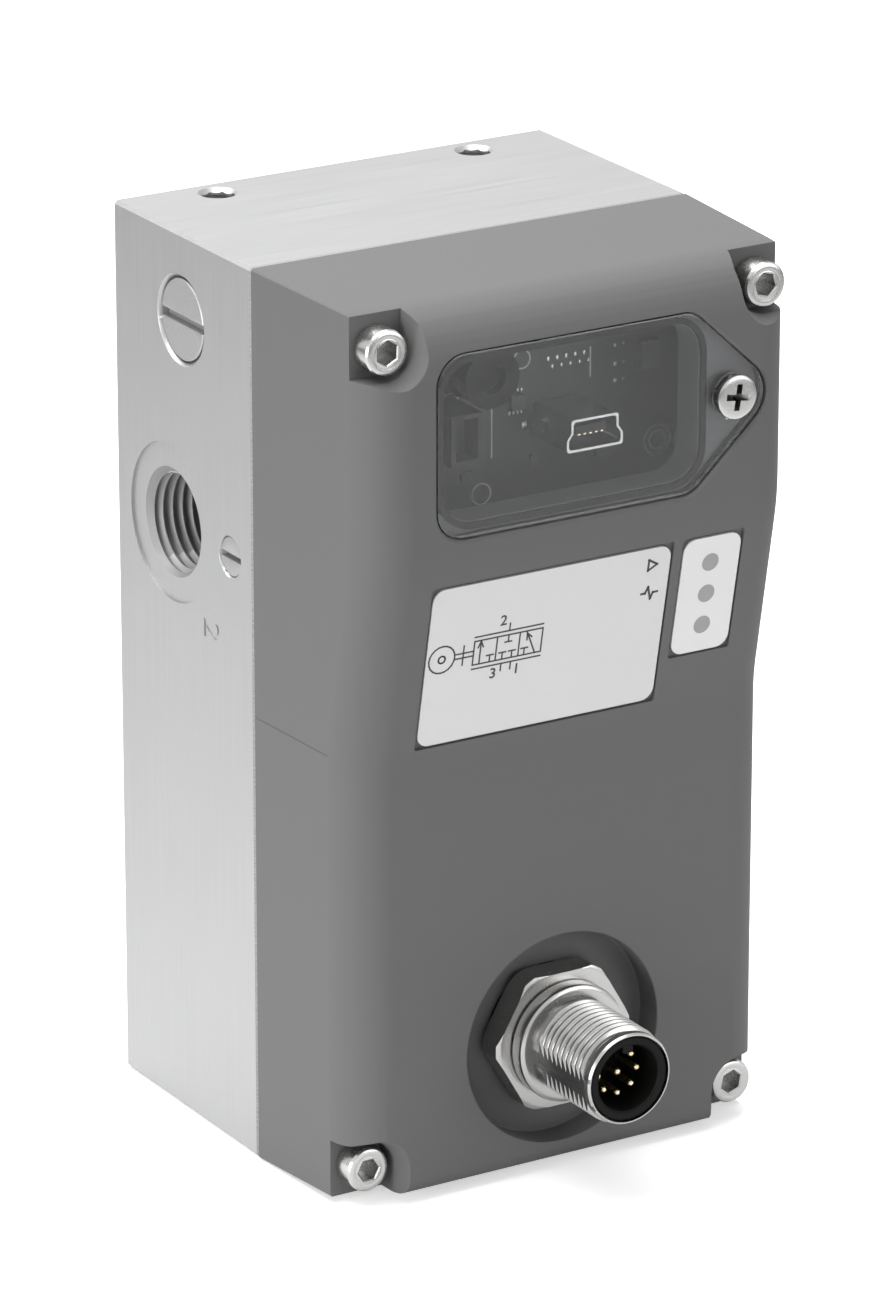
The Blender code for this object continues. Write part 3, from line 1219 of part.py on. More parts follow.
def socket_outline(inset):
    """Mouth of the service socket: a slot that narrows at the top."""
    half = SOCKET_WIDTH / 2 - inset
    shoulder = half - SOCKET_SHOULDER
    low = SOCKET_Z - SOCKET_HEIGHT / 2 + inset
    high = SOCKET_Z + SOCKET_HEIGHT / 2 - inset
    waist = SOCKET_Z - SOCKET_HEIGHT * 0.12
    radius = SOCKET_CORNER
    corners = [(SOCKET_X - half, low, radius), (SOCKET_X + half, low, radius), (SOCKET_X + half, waist, 0),
               (SOCKET_X + shoulder, waist + SOCKET_SHOULDER_RISE, 0), (SOCKET_X + shoulder, high, radius),
               (SOCKET_X - shoulder, high, radius), (SOCKET_X - shoulder, waist + SOCKET_SHOULDER_RISE, 0),
               (SOCKET_X - half, waist, 0)]
    return rounded_path(corners, 3)


def make_board_parts(shop):
    """The parts of the board that show through the window."""
    base = BOARD_FRONT + SEAT_GAP
    mouth = BOARD_FRONT + SOCKET_LENGTH
    shell = front_plate(shop, "service_socket", [socket_outline(0)], base, mouth, "nickel")
    floor = base + SOCKET_FLOOR
    cut(shell, front_plate(shop, "socket_cavity", [socket_outline(SOCKET_WALL)], floor, mouth + CUT_PAST,
                           None))
    tongue_half = SOCKET_WIDTH / 2 - TONGUE_INSET
    tongue_low = SOCKET_Z - SOCKET_WALL
    low = (SOCKET_X - tongue_half, -mouth + TONGUE_SETBACK, tongue_low)
    high = (SOCKET_X + tongue_half, -floor - SEAT_GAP, tongue_low + TONGUE_THICKNESS)
    shop.place("socket_tongue", box_mesh("socket_tongue", low, high), "black_plastic")

    top = base + INDUCTOR_HEIGHT
    radius = INDUCTOR_DIAMETER / 2
    waist = radius * 0.82
    lip = INDUCTOR_HEIGHT * 0.2
    profile = [(0.0, top - lip), (waist * 0.6, top - lip), (waist * 0.6, top), (radius, top),
               (radius, top - lip),
               (waist, top - 1.5 * lip), (waist, base + 1.5 * lip), (radius, base + lip), (radius, base),
               (0.0, base)]
    turned(shop, "power_inductor", profile, "black_plastic", MEDIUM, (INDUCTOR_X, 0, INDUCTOR_Z),
           FACING_FRONT)

    half_x, half_z = HEADER_WIDTH / 2, HEADER_TALL / 2
    low = (HEADER_X - half_x, -base - HEADER_LENGTH, HEADER_Z - half_z)
    high = (HEADER_X + half_x, -base, HEADER_Z + half_z)
    header = shop.place("motor_header", box_mesh("motor_header", low, high), "black_plastic")
    wall = HEADER_WALL
    inner_low = (HEADER_X - half_x + wall, -base - HEADER_LENGTH - CUT_PAST, HEADER_Z - half_z + wall)
    inner_high = (HEADER_X + half_x - wall, -base - HEADER_LENGTH + HEADER_CAVITY, HEADER_Z + half_z - wall)
    cut(header, shop.place("header_cavity", box_mesh("header_cavity", inner_low, inner_high), None))


# Round connector


def connector_levels():
    """Depths in front of the joint of the connector's seal, hexagon, collar and thread."""
    floor = LOWER_FRONT - CONNECTOR_RECESS_DEPTH
    seal = floor + FIT_GAP / 2
    hexagon = seal + CONNECTOR_SEAL_THICKNESS + FIT_GAP / 2
    collar = hexagon + CONNECTOR_HEX_THICKNESS
    thread = collar + CONNECTOR_COLLAR_LENGTH
    return floor, seal, hexagon, collar, thread


def make_connector(shop):
    """The threaded shell with its hexagon, the seal, the lock nut and the insert."""
    floor, seal, hexagon, collar, thread = connector_levels()
    at = (0, 0, CONNECTOR_HEIGHT)
    stem = CONNECTOR_STEM_DIAMETER / 2
    back = BOARD_FRONT + 3 * SEAT_GAP
    bore = INSERT_DIAMETER / 2 + FIT_GAP / 2
    outer = THREAD_DIAMETER / 2
    profile = [
        (outer - THREAD_CHAMFER, CONNECTOR_FRONT),
        (outer, CONNECTOR_FRONT - THREAD_CHAMFER * 2),
        (outer, thread + THREAD_RELIEF),
        (outer - THREAD_CHAMFER, thread + THREAD_RELIEF / 2),
        (outer - THREAD_CHAMFER, thread),
        (CONNECTOR_COLLAR_DIAMETER / 2 - THREAD_CHAMFER, thread),
        (CONNECTOR_COLLAR_DIAMETER / 2, thread - THREAD_CHAMFER),
        (CONNECTOR_COLLAR_DIAMETER / 2, hexagon + THREAD_CHAMFER),
        (stem, hexagon + THREAD_CHAMFER),
        (stem, back),
        (bore, back),
        (bore, CONNECTOR_FRONT),
    ]
    shell = turned(shop, "connector_shell", profile, "nickel", FINE, at, FACING_FRONT, closed=True)
    corner = CONNECTOR_HEX / 2 / math.cos(math.radians(30))
    hexagon_outline = [(corner * math.cos(math.radians(60 * i)), corner * math.sin(math.radians(60 * i)),
                        CONNECTOR_HEX_CORNER)
                       for i in range(6)]
    points = [point + Vector((0, CONNECTOR_HEIGHT)) for point in rounded_path(hexagon_outline, 3)]
    hex_plate = front_plate(shop, "connector_hexagon", [points], hexagon, collar, None)
    cut(hex_plate, front_rod(shop, "hexagon_bore", (bore + stem) / 2, 0, CONNECTOR_HEIGHT,
                             hexagon - CUT_PAST, collar + CUT_PAST, steps=FINE))
    join(shell, hex_plate)
    smooth_round(shell)

    turned(shop, "connector_seal",
           ring_profile(stem + FIT_GAP, CONNECTOR_SEAL_DIAMETER / 2, seal, seal + CONNECTOR_SEAL_THICKNESS),
           "rubber", FINE, at, FACING_FRONT, closed=True)
    wall_back = floor - CONNECTOR_WALL
    nut_low = back + SEAT_GAP
    nut_high = wall_back - FIT_GAP
    nut_points = [point + Vector((0, CONNECTOR_HEIGHT)) for point in rounded_path(hexagon_outline, 2)]
    nut = front_plate(shop, "connector_lock_nut", [nut_points], nut_low, nut_high, "nickel")
    cut(nut, front_rod(shop, "lock_nut_bore", stem + FIT_GAP, 0, CONNECTOR_HEIGHT, nut_low - CUT_PAST,
                       nut_high + CUT_PAST, steps=MEDIUM))

    insert_outer = INSERT_DIAMETER / 2
    hollow = INSERT_HOLLOW / 2
    face = CONNECTOR_FRONT - FIT_GAP
    cup = face - INSERT_HOLLOW_DEPTH
    insert_back = back + SEAT_GAP
    rim = INSERT_EDGE
    profile = [(0.0, cup), (hollow, cup), (hollow, face), (insert_outer - rim, face),
               (insert_outer, face - rim), (insert_outer, insert_back), (0.0, insert_back)]
    insert = turned(shop, "connector_insert", profile, "black_plastic", MEDIUM, at, FACING_FRONT)
    key_low = (-INSERT_KEY_WIDTH / 2, -face + rim, CONNECTOR_HEIGHT + hollow - INSERT_KEY_HEIGHT)
    key_high = (INSERT_KEY_WIDTH / 2, -cup + CUT_PAST, CONNECTOR_HEIGHT + (hollow + insert_outer) / 2)
    join(insert, shop.place("insert_key", box_mesh("insert_key", key_low, key_high), None))
    make_pins(shop, insert, insert_back)


def pin_places():
    """Offset of each pin from the connector's axis: a centre pin and a ring with a gap at the key."""
    ring = PIN_CIRCLE / 2
    places = [(0.0, 0.0)]
    for number in range(OUTER_PINS):
        angle = math.radians(90 + PIN_STEP_DEGREES * (number + 1))
        places.append((ring * math.cos(angle), ring * math.sin(angle)))
    return places


def make_pins(shop, insert, insert_back):
    """The contact pins, each through its own hole in the insert."""
    radius = PIN_DIAMETER / 2
    tip = CONNECTOR_FRONT - PIN_RECESS
    back = BOARD_FRONT + SEAT_GAP
    for number, (x, z) in enumerate(pin_places(), 1):
        place = (x, 0, CONNECTOR_HEIGHT + z)
        profile = [(0.0, tip), (radius * 0.6, tip - radius * 0.2), (radius, tip - radius), (radius, back),
                   (0.0, back)]
        turned(shop, f"contact_pin_{number}", profile, "gold", COARSE, place, FACING_FRONT)
        hole = front_rod(shop, f"pin_hole_{number}", radius + FIT_GAP, x, CONNECTOR_HEIGHT + z,
                         insert_back - CUT_PAST, CONNECTOR_FRONT)
        cut(insert, hole)


def main():
    shop = Workshop()
    make_body(shop)
    make_body_plugs(shop)
    make_sleeve(shop)
    make_spool(shop)
    for name, bottom in zip(("lower_bearing", "upper_bearing"), bearing_heights()):
        make_bearing(shop, name, bottom)
    make_motor(shop)
    make_coupling(shop)
    make_angle_sensor(shop)
    make_pressure_sensor(shop)
    make_cover(shop)
    make_cover_screws(shop)
    make_window(shop)
    make_labels(shop)
    make_board(shop)
    make_board_parts(shop)
    make_connector(shop)
    bpy.context.view_layer.update()


main()
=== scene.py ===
"""Dressed model of the rotary-spool proportional valve.

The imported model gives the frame. This script replaces the pieces that show with finer ones,
gives every piece its finish, and adds the studio, the lamps and the camera.
"""

from __future__ import annotations

import json
import logging
import math
from dataclasses import dataclass, field
from enum import Enum
from functools import cached_property
from typing import Iterable, Sequence

import bmesh
import bpy
from mathutils import Matrix, Vector

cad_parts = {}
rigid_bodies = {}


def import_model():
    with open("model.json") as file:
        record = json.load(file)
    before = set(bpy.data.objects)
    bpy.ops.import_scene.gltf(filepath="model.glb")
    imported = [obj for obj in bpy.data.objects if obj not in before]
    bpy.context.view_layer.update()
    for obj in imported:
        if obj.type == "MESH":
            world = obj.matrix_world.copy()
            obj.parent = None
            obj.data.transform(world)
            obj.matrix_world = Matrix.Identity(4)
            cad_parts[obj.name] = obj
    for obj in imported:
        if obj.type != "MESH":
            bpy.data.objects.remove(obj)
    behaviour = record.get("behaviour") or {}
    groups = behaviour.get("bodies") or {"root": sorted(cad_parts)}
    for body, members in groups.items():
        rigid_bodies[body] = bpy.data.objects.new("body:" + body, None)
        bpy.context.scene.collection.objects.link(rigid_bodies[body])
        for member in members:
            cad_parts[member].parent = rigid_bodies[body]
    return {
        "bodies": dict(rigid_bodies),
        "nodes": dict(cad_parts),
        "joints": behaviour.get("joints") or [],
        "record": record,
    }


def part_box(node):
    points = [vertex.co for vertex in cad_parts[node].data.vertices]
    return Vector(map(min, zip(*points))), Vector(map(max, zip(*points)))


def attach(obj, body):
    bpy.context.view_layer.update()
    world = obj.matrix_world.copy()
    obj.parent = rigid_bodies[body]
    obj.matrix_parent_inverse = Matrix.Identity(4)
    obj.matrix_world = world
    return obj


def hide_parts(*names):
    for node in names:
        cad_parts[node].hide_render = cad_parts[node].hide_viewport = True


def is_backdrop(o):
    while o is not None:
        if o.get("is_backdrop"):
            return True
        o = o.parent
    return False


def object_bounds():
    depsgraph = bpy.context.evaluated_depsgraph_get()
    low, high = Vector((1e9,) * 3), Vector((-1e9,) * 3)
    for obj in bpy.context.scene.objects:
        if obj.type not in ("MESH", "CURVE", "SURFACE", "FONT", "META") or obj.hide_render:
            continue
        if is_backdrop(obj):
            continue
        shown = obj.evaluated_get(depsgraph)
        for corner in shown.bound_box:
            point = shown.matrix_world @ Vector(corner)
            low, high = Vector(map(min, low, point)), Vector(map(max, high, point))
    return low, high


log = logging.getLogger("valve")

Mesh = bpy.types.Mesh
Node = bpy.types.Node
Socket = bpy.types.NodeSocket
Tree = bpy.types.NodeTree
Material = bpy.types.Material
Point = tuple[float, float]
Outline = Sequence[Point]
Place = Sequence[float]
Color = tuple[float, float, float]

MM = 0.001
PAST = 1.0 * MM  # how far a cutter runs past the face that it opens
WELD = 0.001 * MM
HOUSING = "housing"


class Facing(Enum):
    """Which way a flat shape looks: its own X runs to the viewer's right, Y up, Z outwards."""

    FRONT = ((1, 0, 0), (0, 0, 1), (0, -1, 0))
    LEFT = ((0, -1, 0), (0, 0, 1), (-1, 0, 0))
    RIGHT = ((0, 1, 0), (0, 0, 1), (1, 0, 0))
    UP = ((1, 0, 0), (0, 1, 0), (0, 0, 1))
    DOWN = ((1, 0, 0), (0, -1, 0), (0, 0, -1))

    def matrix(self, origin: Sequence[float] = (0, 0, 0)) -> Matrix:
        """Matrix from the shape's own axes to the frame."""
        turn = Matrix(self.value).transposed().to_4x4()
        return Matrix.Translation(Vector(origin)) @ turn


class Joining(Enum):
    """Ways to work other shapes into a mesh."""

    CUT = "DIFFERENCE"
    ADD = "UNION"
    COMMON = "INTERSECT"


# Outlines


def arc(center: Point, radius: float, start: float, end: float, steps: int) -> list[Point]:
    """Points of an arc, angles in degrees."""
    turn = [math.radians(start + (end - start) * step / steps) for step in range(steps + 1)]
    return [(center[0] + radius * math.cos(angle), center[1] + radius * math.sin(angle)) for angle in turn]


def rounded(corners: Sequence[tuple[float, float, float]], steps: int) -> list[Point]:
    """Closed outline from corners (a, b, radius).

    Args:
        corners: The corners in order, each with the radius that rounds it.
        steps: Facets in each rounded corner.

    Returns:
        The points of the outline.
    """
    points: list[Point] = []
    for index, (a, b, radius) in enumerate(corners):
        here = Vector((a, b))
        if radius <= 0:
            points.append((a, b))
            continue
        before = (Vector(corners[index - 1][:2]) - here).normalized()
        after = (Vector(corners[(index + 1) % len(corners)][:2]) - here).normalized()
        half = before.angle(after) / 2
        center = here + (before + after).normalized() * radius / math.sin(half)
        start = here + before * radius / math.tan(half) - center
        turn = (here + after * radius / math.tan(half) - center).angle_signed(start)
        for step in range(steps + 1):
            points.append(tuple(center + Matrix.Rotation(turn * step / steps, 2) @ start))
    return points


def band(circles: Sequence[tuple[float, float, float]], steps: int) -> list[Point]:
    """Outline of a band stretched round circles (a, b, radius), given anticlockwise."""
    leaving = []
    for index, (a, b, radius) in enumerate(circles):
        next_a, next_b, next_radius = circles[(index + 1) % len(circles)]
        length = math.hypot(next_a - a, next_b - b)
        leaving.append(math.atan2(next_b - b, next_a - a) - math.acos((radius - next_radius) / length))
    points: list[Point] = []
    for index, (a, b, radius) in enumerate(circles):
        first = leaving[index - 1]
        sweep = (leaving[index] - first) % (2 * math.pi)
        points += arc((a, b), radius, math.degrees(first), math.degrees(first + sweep), steps)
    return points


def rounded_box(left: float, right: float, low: float, high: float, radius: float,
                steps: int = 8) -> list[Point]:
    """Outline of a rectangle with round corners."""
    corners = [(left, low, radius), (right, low, radius), (right, high, radius), (left, high, radius)]
    return rounded(corners, steps)


def polygon(radius: float, sides: int, turn: float = 0.0) -> list[Point]:
    """Outline of a regular polygon; turn is in degrees."""
    return arc((0, 0), radius, turn, turn + 360, sides)[:-1]


# Meshes


def new_mesh(name: str, shape: bmesh.types.BMesh, matrix: Matrix | None = None) -> Mesh:
    """Close a bmesh into a mesh whose faces look outwards."""
    if matrix is not None:
        bmesh.ops.transform(shape, matrix=matrix, verts=shape.verts)
    bmesh.ops.recalc_face_normals(shape, faces=shape.faces)
    mesh = bpy.data.meshes.new(name)
    shape.to_mesh(mesh)
    shape.free()
    return mesh


def bridge(shape: bmesh.types.BMesh, lower: Sequence, upper: Sequence) -> None:
    """Join two rings of vertices; a ring of one vertex is a point."""
    count = max(len(lower), len(upper))
    if count < 3:
        return
    for index in range(count):
        following = (index + 1) % count
        corners = [lower[index % len(lower)], lower[following % len(lower)], upper[following % len(upper)],
                   upper[index % len(upper)]]
        corners = [vert for place, vert in enumerate(corners) if vert not in corners[:place]]
        if len(corners) > 2:
            shape.faces.new(corners)


def lathe(name: str, profile: Outline, steps: int, facing: Facing = Facing.UP, origin: Place = (0, 0, 0),
          closed: bool = False) -> Mesh:
    """Turned shape about its own Z.

    Args:
        name: Name of the mesh.
        profile: (radius, height) points; a radius of zero lies on the axis.
        steps: Facets round the axis.
        facing: Where its Z looks.
        origin: Where its own origin goes.
        closed: Whether the profile is a closed section off the axis.

    Returns:
        The mesh, in the frame.
    """
    shape = bmesh.new()
    rings = []
    for radius, height in profile:
        if radius < 1e-9:
            rings.append([shape.verts.new((0, 0, height))])
        else:
            rings.append([shape.verts.new((a, b, height)) for a, b in polygon(radius, steps)])
    for lower, upper in zip(rings, rings[1:]):
        bridge(shape, lower, upper)
    if closed:
        bridge(shape, rings[-1], rings[0])
    return new_mesh(name, shape, facing.matrix(origin))


def solid(name: str, rings: Sequence[Sequence[Place]], matrix: Matrix | None = None) -> Mesh:
    """Closed solid through rings of points, all of one count."""
    shape = bmesh.new()
    rows = [[shape.verts.new(point) for point in ring] for ring in rings]
    shape.faces.new(rows[0])
    shape.faces.new(rows[-1])
    for lower, upper in zip(rows, rows[1:]):
        bridge(shape, lower, upper)
    return new_mesh(name, shape, matrix)


def loft(name: str, sections: Sequence[tuple[Outline, float]], facing: Facing = Facing.UP,
         origin: Place = (0, 0, 0)) -> Mesh:
    """Solid through outlines of equal point count, each at its own height."""
    return solid(name, [[(a, b, height) for a, b in outline] for outline, height in sections],
                 facing.matrix(origin))


def plate(name: str, outline: Outline, low: float, high: float, facing: Facing = Facing.UP,
          origin: Place = (0, 0, 0)) -> Mesh:
    """Flat plate from an outline, between two heights."""
    return loft(name, [(outline, low), (outline, high)], facing, origin)


def rod(name: str, radius: float, low: float, high: float, steps: int, origin: Place) -> Mesh:
    """Plain rod that faces the front, between two heights over its origin."""
    return lathe(name, [(0, low), (radius, low), (radius, high), (0, high)], steps, Facing.FRONT, origin)


def block(name: str, low: Place, high: Place) -> Mesh:
    """Box between two corners."""
    shape = bmesh.new()
    bmesh.ops.create_cube(shape, size=1.0)
    middle, size = (Vector(low) + Vector(high)) / 2, Vector(high) - Vector(low)
    return new_mesh(name, shape, Matrix.Translation(middle) @ Matrix.Diagonal((*size, 1)))


def helix(name: str, root: float, crest: float, pitch: float, low: float, high: float, steps: int,
          fade: float, facing: Facing, origin: Place) -> Mesh:
    """Solid rod with a helical thread.

    Args:
        name: Name of the mesh.
        root: Radius at the bottom of the thread.
        crest: Radius at its top.
        pitch: Length of one turn.
        low: Height where it starts.
        high: Height where it ends.
        steps: Facets in a turn.
        fade: Length over which the thread runs in and out.
        facing: Where its Z looks.
        origin: Where its own origin goes.

    Returns:
        The mesh, in the frame.
    """
    section = ((0.0, 0.0), (0.10, 0.0), (0.45, 1.0), (0.65, 1.0))
    turns = int((high - low) / pitch) - 1
    last = steps * turns
    top = low + (turns + 1) * pitch
    shape = bmesh.new()
    rows = []
    for index in range(last + steps + 1):
        angle = 2 * math.pi * (index % steps) / steps
        row = []
        for along, rise in section if index <= last else section[:1]:
            height = low + (index / steps + along) * pitch
            ease = min((height - low) / fade, (top - height) / fade, 1.0)
            radius = root + (crest - root) * rise * max(ease, 0.0)
            row.append(shape.verts.new((radius * math.cos(angle), radius * math.sin(angle), height)))
        rows.append(row)
    for index in range(last):
        here = rows[index] + [rows[index + steps][0]]
        there = rows[index + 1] + [rows[index + 1 + steps][0]]
        for a, b, c, d in zip(here, there, there[1:], here[1:]):
            shape.faces.new((a, b, c, d))
    for first, peak in ((0, low - pitch / 4), (last, top + pitch / 4)):
        center = shape.verts.new((0, 0, peak))
        edge = [row[0] for row in rows[first:first + steps + 1]] + rows[first][:0:-1]
        for a, b in zip(edge, edge[1:] + edge[:1]):
            shape.faces.new((center, a, b))
    return new_mesh(name, shape, facing.matrix(origin))


def welded(mesh: Mesh) -> Mesh:
    """Copy of a mesh with its faces joined along their shared edges."""
    shape = bmesh.new()
    shape.from_mesh(mesh)
    bmesh.ops.remove_doubles(shape, verts=shape.verts, dist=WELD)
    return new_mesh(mesh.name, shape)


def merged(name: str, meshes: list[Mesh]) -> Mesh:
    """Put meshes into one and empty their list."""
    shape = bmesh.new()
    for mesh in meshes:
        shape.from_mesh(mesh)
        bpy.data.meshes.remove(mesh)
    meshes.clear()
    made = bpy.data.meshes.new(name)
    shape.to_mesh(made)
    shape.free()
    return made


def temporary(mesh: Mesh | bpy.types.Curve) -> bpy.types.Object:
    """Wrap a mesh or a curve in an object that only lives while something is worked out."""
    item = bpy.data.objects.new(mesh.name, mesh)
    bpy.context.scene.collection.objects.link(item)
    return item


def settle(item: bpy.types.Object) -> Mesh:
    """Return the item's mesh with its modifiers worked in, and remove the item."""
    bpy.context.view_layer.update()
    graph = bpy.context.evaluated_depsgraph_get()
    made = bpy.data.meshes.new_from_object(item.evaluated_get(graph))
    bpy.data.objects.remove(item)
    return made


def combine(mesh: Mesh, others: Iterable[Mesh], joining: Joining) -> Mesh:
    """Work other shapes into a mesh.

    Args:
        mesh: What is cut or added to.
        others: The cutters or the additions.
        joining: What is done with them.

    Returns:
        The new mesh.
    """
    name = mesh.name
    item = temporary(mesh)
    helpers = []
    for number, other in enumerate(others):
        helpers.append(temporary(other))
        boolean = item.modifiers.new(f"step_{number}", "BOOLEAN")
        boolean.operation = joining.value
        boolean.object = helpers[-1]
        boolean.solver = "MANIFOLD"
    weld = item.modifiers.new("weld", "WELD")
    weld.merge_threshold = WELD / 2
    made = settle(item)
    for helper in helpers:
        bpy.data.objects.remove(helper)
    made.name = name
    return made


def cut(mesh: Mesh, *cutters: Mesh) -> Mesh:
    """Mesh with the cutters taken out."""
    return combine(mesh, cutters, Joining.CUT)


def ease_edges(mesh: Mesh, width: float, angle: float = 35) -> Mesh:
    """Round the edges of a mesh that turn by more than the angle, in degrees."""
    item = temporary(mesh)
    bevel = item.modifiers.new("ease", "BEVEL")
    bevel.width = width
    bevel.segments = 2
    bevel.limit_method = "ANGLE"
    bevel.angle_limit = math.radians(angle)
    bevel.miter_outer = "MITER_ARC"
    return settle(item)


def text_mesh(words: str, size: float, depth: float, matrix: Matrix, weight: float = 0.0) -> Mesh:
    """Flat numeral about the matrix's own origin.

    Args:
        words: The numeral.
        size: Size of the type.
        depth: How far it stands to each side of its plane.
        matrix: Where it goes; it reads along the matrix's X and Y.
        weight: How much its strokes are thickened.

    Returns:
        The mesh, in the frame.
    """
    curve = bpy.data.curves.new(f"numeral_{words}", "FONT")
    curve.body = words
    curve.size = size
    curve.extrude = depth
    curve.offset = weight
    curve.align_x = "CENTER"
    curve.align_y = "CENTER"
    curve.resolution_u = 6
    shape = bmesh.new()
    shape.from_mesh(settle(temporary(curve)))
    bmesh.ops.remove_doubles(shape, verts=shape.verts, dist=1e-7)
    return new_mesh(curve.name, shape, matrix)


# Finishes


def feed(node: Node, inputs: dict[str | int, object]) -> Node:
    """Give a node's inputs their values; an output socket is linked."""
    for label, source in inputs.items():
        if isinstance(source, Socket):
            node.id_data.links.new(source, node.inputs[label])
        else:
            node.inputs[label].default_value = source
    return node


def add_node(tree: Tree, kind: str, inputs: dict[str | int, object] | None = None,
             **settings: object) -> Node:
    """Add a node of a kind, named without its usual ShaderNode, with its settings and inputs."""
    node = tree.nodes.new(f"ShaderNode{kind}")
    for label, value in settings.items():
        setattr(node, label, value)
    return feed(node, inputs or {})


def add_math(tree: Tree, operation: str, *inputs: object) -> Socket:
    """Add a Math node and return its result."""
    return add_node(tree, "Math", dict(enumerate(inputs)), operation=operation).outputs[0]


class Effects:
    """Shader node groups that several materials share, each built on first use."""

    @staticmethod
    def _group(name: str, inputs: Sequence[tuple[str, float]], outputs: Sequence[str]) -> tuple:
        """Start a group and return its tree, the sockets of its inputs and its outputs node."""
        tree = bpy.data.node_groups.new(name, "ShaderNodeTree")
        labels = [("INPUT", label, value) for label, value in inputs]
        for way, label, value in labels + [("OUTPUT", label, 0) for label in outputs]:
            kind = "NodeSocketColor" if label == "Color" else "NodeSocketFloat"
            socket = tree.interface.new_socket(label, in_out=way, socket_type=kind)
            if way == "INPUT" and kind == "NodeSocketFloat":
                socket.default_value = value
        start = tree.nodes.new("NodeGroupInput")
        return tree, start.outputs, tree.nodes.new("NodeGroupOutput")

    @staticmethod
    def _shaded(tree: Tree, color: Socket, change: Socket, amount: Socket) -> Socket:
        """Colour made lighter or darker by a change about zero, times the amount."""
        value = add_math(tree, "MULTIPLY_ADD", change, amount, 1.0)
        return add_node(tree, "HueSaturation", {"Value": value, "Color": color}).outputs["Color"]

    @cached_property
    def mottle(self) -> Tree:
        """Cloudy change of shade over a surface: Color, Amount and Scale in, Color out."""
        tree, given, end = self._group("mottle", (("Color", 0), ("Amount", 0.05), ("Scale", 60)), ("Color",))
        place = add_node(tree, "TexCoord").outputs["Object"]
        noise = add_node(tree, "TexNoise", {"Vector": place, "Scale": given["Scale"], "Detail": 5})
        change = add_math(tree, "SUBTRACT", noise.outputs["Fac"], 0.5)
        feed(end, {"Color": self._shaded(tree, given["Color"], change, given["Amount"])})
        return tree

    @cached_property
    def grain(self) -> Tree:
        """Fine moulded or cast grain: Scale in, Height out."""
        tree, given, end = self._group("grain", (("Scale", 4000),), ("Height",))
        place = add_node(tree, "TexCoord").outputs["Object"]
        inputs = {"Vector": place, "Scale": given["Scale"], "Detail": 3, "Roughness": 0.6}
        feed(end, {"Height": add_node(tree, "TexNoise", inputs).outputs["Fac"]})
        return tree

    @cached_property
    def brushed(self) -> Tree:
        """Machining lines along Z on upright faces and along X on level ones.

        The group takes Color, Scale, Stretch, Base, Spread and Streak. It puts out Height for a
        bump, Roughness, which is Base plus or minus half of Spread, and Color with its streaks.
        """
        inputs = (("Color", 0), ("Scale", 3000), ("Stretch", 0.02), ("Base", 0.35), ("Spread", 0.15),
                  ("Streak", 0.1))
        tree, given, end = self._group("brushed", inputs, ("Height", "Roughness", "Color"))
        place = add_node(tree, "TexCoord").outputs
        axes = add_node(tree, "SeparateXYZ", {0: place["Object"]}).outputs
        normal = add_node(tree, "SeparateXYZ", {0: place["Normal"]}).outputs
        level = add_math(tree, "GREATER_THAN", add_math(tree, "ABSOLUTE", normal["Z"]), 0.7)
        tall, wide = (add_math(tree, "MULTIPLY", axes[axis], given["Stretch"]) for axis in "ZX")
        lines = []
        for x, z in ((axes["X"], tall), (wide, axes["Z"])):
            joined = add_node(tree, "CombineXYZ", {0: x, 1: axes["Y"], 2: z})
            noise = {"Vector": joined.outputs[0], "Scale": given["Scale"], "Detail": 2}
            lines.append(add_node(tree, "TexNoise", noise).outputs["Fac"])
        height = add_node(tree, "Mix", {"Factor": level, "A": lines[0], "B": lines[1]}).outputs["Result"]
        change = add_math(tree, "SUBTRACT", height, 0.5)
        rough = add_math(tree, "MULTIPLY_ADD", change, given["Spread"], given["Base"])
        color = self._shaded(tree, given["Color"], change, given["Streak"])
        feed(end, {"Height": height, "Roughness": rough, "Color": color})
        return tree


EFFECTS = Effects()


def start_material(name: str, color: Color, opacity: float = 1.0) -> tuple[Material, Node]:
    """New material, with its plain colour for the viewport, and its Principled shader."""
    made = bpy.data.materials.new(name)
    made.use_nodes = True
    made.diffuse_color = (*color, opacity)
    return made, made.node_tree.nodes["Principled BSDF"]


def put_effect(made: Material, effect: Tree, **values: object) -> dict[str, Socket]:
    """Place a node group in a material with its values and return its outputs."""
    return add_node(made.node_tree, "Group", values, node_tree=effect).outputs


def bumped(made: Material, height: Socket, depth: float) -> Socket:
    """Normal of a bump of that depth."""
    return add_node(made.node_tree, "Bump", {"Distance": depth, "Height": height}).outputs["Normal"]


@dataclass(frozen=True)
class Moulded:
    """Plastic, rubber or film with a fine grain and a slight change of shade."""

    name: str
    color: Color
    roughness: float = 0.5
    specular: float = 0.5
    mottle: float = 0.06
    mottle_scale: float = 90.0
    grain_scale: float = 5000.0
    grain_depth: float = 0.010 * MM

    def build(self) -> Material:
        """Make the material."""
        made, shader = start_material(self.name, self.color)
        shade = put_effect(made, EFFECTS.mottle, Color=(*self.color, 1), Amount=self.mottle,
                           Scale=self.mottle_scale)
        grain = put_effect(made, EFFECTS.grain, Scale=self.grain_scale)
        feed(shader, {"Roughness": self.roughness, "Specular IOR Level": self.specular,
                      "Base Color": shade["Color"], "Normal": bumped(made, grain["Height"], self.grain_depth)})
        return made


